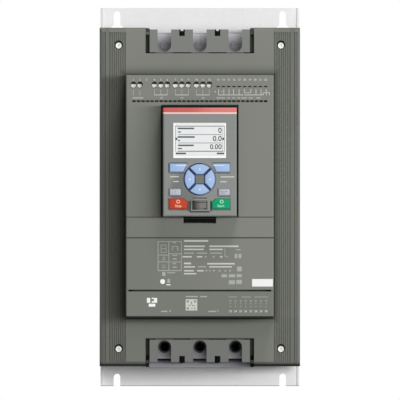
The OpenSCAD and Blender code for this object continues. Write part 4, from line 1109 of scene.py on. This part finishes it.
# %% Label cover print
label_text = [
    (-3.7, -43.6, 24.2, 1.69), (-5.3, -48.9, 20.8, 1.56), (23.9, -48.9, 29.0, 1.56),
    (-5.9, -52.0, 19.7, 1.43), (16.2, -52.0, 13.5, 1.43), (-12.5, -59.3, 9.3, 1.43),
    (-0.2, -59.3, 5.6, 1.3), (21.3, -59.3, 2.4, 1.56), (-12.2, -65.9, 7.1, 1.82),
    (21.0, -66.2, 27.6, 1.56), (-10.3, -69.3, 10.9, 1.3), (20.6, -69.3, 22.8, 1.3),
    (-10.8, -73.2, 9.9, 1.3), (0.6, -73.2, 6.4, 1.3), (-9.6, -76.1, 12.3, 1.3),
]
label_faint = [
    (-10.8, -55.7, 9.9, 1.17), (2.2, -55.7, 10.0, 1.17), (16.1, -55.7, 12.0, 1.17),
    (5.8, -59.3, 1.8, 1.43), (13.6, -59.3, 1.8, 1.43), (2.2, -69.2, 8.0, 1.17),
    (6.5, -73.1, 1.6, 1.56), (10.0, -73.1, 1.2, 1.56), (14.0, -73.1, 1.6, 1.56),
    (19.5, -73.1, 1.8, 1.56), (25.2, -73.1, 1.6, 1.56), (30.0, -73.1, 1.8, 1.56),
]
label_grid = [
    (-41.4, -58.6, 0.75, 29.2), (-30.7, -58.6, 0.75, 29.2), (-18.3, -58.6, 0.6, 29.2),
    (-29.9, -44.2, 23.7, 0.6), (-36.2, -57.6, 11.1, 0.75), (-24.7, -56.4, 11.9, 0.75),
    (-30.2, -64.4, 23.0, 0.75), (-29.9, -73.0, 23.6, 0.9),
]
label_symbols = [
    (-38.4, -51.3, 0.6, 7.9), (-33.4, -51.3, 0.6, 7.9), (-35.9, -47.6, 5.5, 0.6),
    (-35.9, -55.0, 5.5, 0.6), (-35.9, -51.2, 5.5, 0.6), (-35.8, -60.2, 3.6, 0.6),
    (-35.8, -62.2, 3.6, 0.6), (-35.8, -61.1, 1.05, 4.0), (-35.8, -67.6, 3.6, 0.6),
    (-35.8, -69.9, 3.6, 0.6), (-25.3, -45.3, 3.6, 1.0), (-27.2, -51.0, 0.8, 4.3),
    (-21.9, -51.0, 1.05, 4.3), (-24.6, -48.9, 6.2, 0.75), (-24.9, -58.0, 4.8, 0.9),
    (-25.0, -61.4, 4.2, 1.2), (-25.3, -66.1, 3.6, 1.1), (-24.9, -69.6, 4.4, 1.2),
    (24.9, -55.2, 0.75, 8.6), (26.4, -59.2, 3.5, 0.75),
]
label_marks = [
    (-35.7, -76.4, 3.4, 4.0), (-28.4, -75.2, 8.1, 1.0), (-30.9, -83.3, 2.7, 4.0),
    (38.1, -52.2, 5.0, 1.0), (39.2, -71.4, 4.6, 4.8), (24.2, -78.2, 5.4, 3.0), (31.8, -78.2, 6.5, 3.0),
    (39.0, -78.1, 5.2, 3.0), (31.8, -84.6, 6.1, 4.0), (38.9, -84.2, 5.4, 4.0), (35.9, -58.6, 2.6, 4.4),
    (39.8, -58.6, 2.8, 4.4),
]
label_spot = [
    (-36.9, -83.9, 4.6, 3.0), (-36.9, -82.0, 3.2, 0.9), (-36.9, -85.8, 3.2, 0.9),
    (-31.1, -87.1, 4.3, 0.9),
]
unit_print("label_text", label_text, pale_ink)
unit_print("label_faint", label_faint + label_grid + label_symbols, faint_ink)
unit_print("label_marks", label_marks, faint_ink)
unit_print("label_spot", label_spot, white_ink)
unit_print("blank_label", [(62.05, -85.1, 20.7, 7.5)], white_ink, film=0.15 * MM)

# %% [markdown]
# The lower cover has a small book sign, a square with plain marks, and eight numbered columns for the
# terminals below it. The columns repeat, so they come from one list of places.

# %% Lower cover print
lower_columns = [30.3 + 5.06 * i for i in range(8)]
FIRST_LOWER_NUMBER = 23
lower_bars = [
    (-8.0, -98.8, 11.9, 1.2), (3.7, -98.8, 6.9, 1.2), (-35.3, -113.5, 6.2, 1.3),
    (-29.4, -113.1, 1.2, 2.0), (12.2, -113.5, 7.5, 1.3), (17.9, -113.0, 0.8, 2.2),
]
lower_faint = [(32.6, -99.2, 8.9, 1.1), (45.8, -99.2, 9.5, 1.1), (60.9, -99.2, 14.0, 1.1)]
for column in lower_columns:
    lower_faint += [(column, -103.0, 2.0, 1.6), (column, -105.6, 1.2, 1.4), (column, -108.6, 1.2, 1.4)]
book = [
    (-50.8, -102.5, 3.4, 4.8), (-43.9, -102.5, 3.2, 4.8), (-46.6, -100.6, 2.2, 1.2),
    (-46.6, -104.0, 2.2, 1.6), (-47.4, -107.3, 6.6, 3.0),
]
code_marks = [
    (-11.9, -103.5, 2.4, 2.4), (-4.7, -103.5, 2.4, 2.4), (-11.9, -110.5, 2.4, 2.4),
    (-8.3, -105.0, 1.2, 3.2), (-6.4, -107.6, 3.0, 1.0), (-10.4, -107.4, 2.4, 0.9),
    (-5.0, -110.6, 1.1, 2.2), (-7.9, -110.2, 1.6, 1.1),
]
unit_print("lower_bars", lower_bars, faint_ink)
unit_print("lower_faint", lower_faint, dim_ink)
unit_print("book_mark", book, white_ink)
unit_print("code_field", [(-8.3, -107.0, 11.6, 11.3)], pale_ink)
printed("code_marks", code_marks, UNIT - INK, dim_ink, "base")
lower_numbers = []
for i, column in enumerate(lower_columns):
    lower_numbers.append((str(FIRST_LOWER_NUMBER + i), column, -113.4, 2.9, "CENTER"))
unit_numbers("lower_numbers", lower_numbers)
bpy.data.objects.remove(ink_bar)

# %% [markdown]
# The floor is a plain pale sheet below the part, kept clear of the portrait so that the background stays
# white. It looks pale to the camera but throws little light back, because the part hangs on a wall and
# not over a table.

# %% Floor
FLOOR_GAP = 22 * MM


def floor_finish():
    material, first, place = begin("floor_paper")
    fibre = noise(first, place, 60.0)
    pale = first.node("BsdfPrincipled", {}, {
        "Base Color": fibre.mix((0.86, 0.86, 0.86, 1), (0.9, 0.9, 0.9, 1)), "Roughness": 0.8})
    dim = first.node("BsdfDiffuse", {}, {"Color": (0.5, 0.5, 0.5, 1)})
    both = first.node("MixShader", {}, {0: seen_itself(first), 1: dim, 2: pale})
    first.node("OutputMaterial", {}, {"Surface": both})
    return material


bpy.ops.object.select_all(action="DESELECT")
bpy.ops.mesh.primitive_plane_add(size=1, location=(0, -0.5, cad_low.z - FLOOR_GAP))
floor = bpy.context.object
floor.name = "floor"
floor.scale = (2.4, 1.8, 1)
bpy.ops.object.transform_apply(location=True, rotation=True, scale=True)
floor.data.materials.append(floor_finish())
print("floor below the part in mm:", round(FLOOR_GAP / MM))
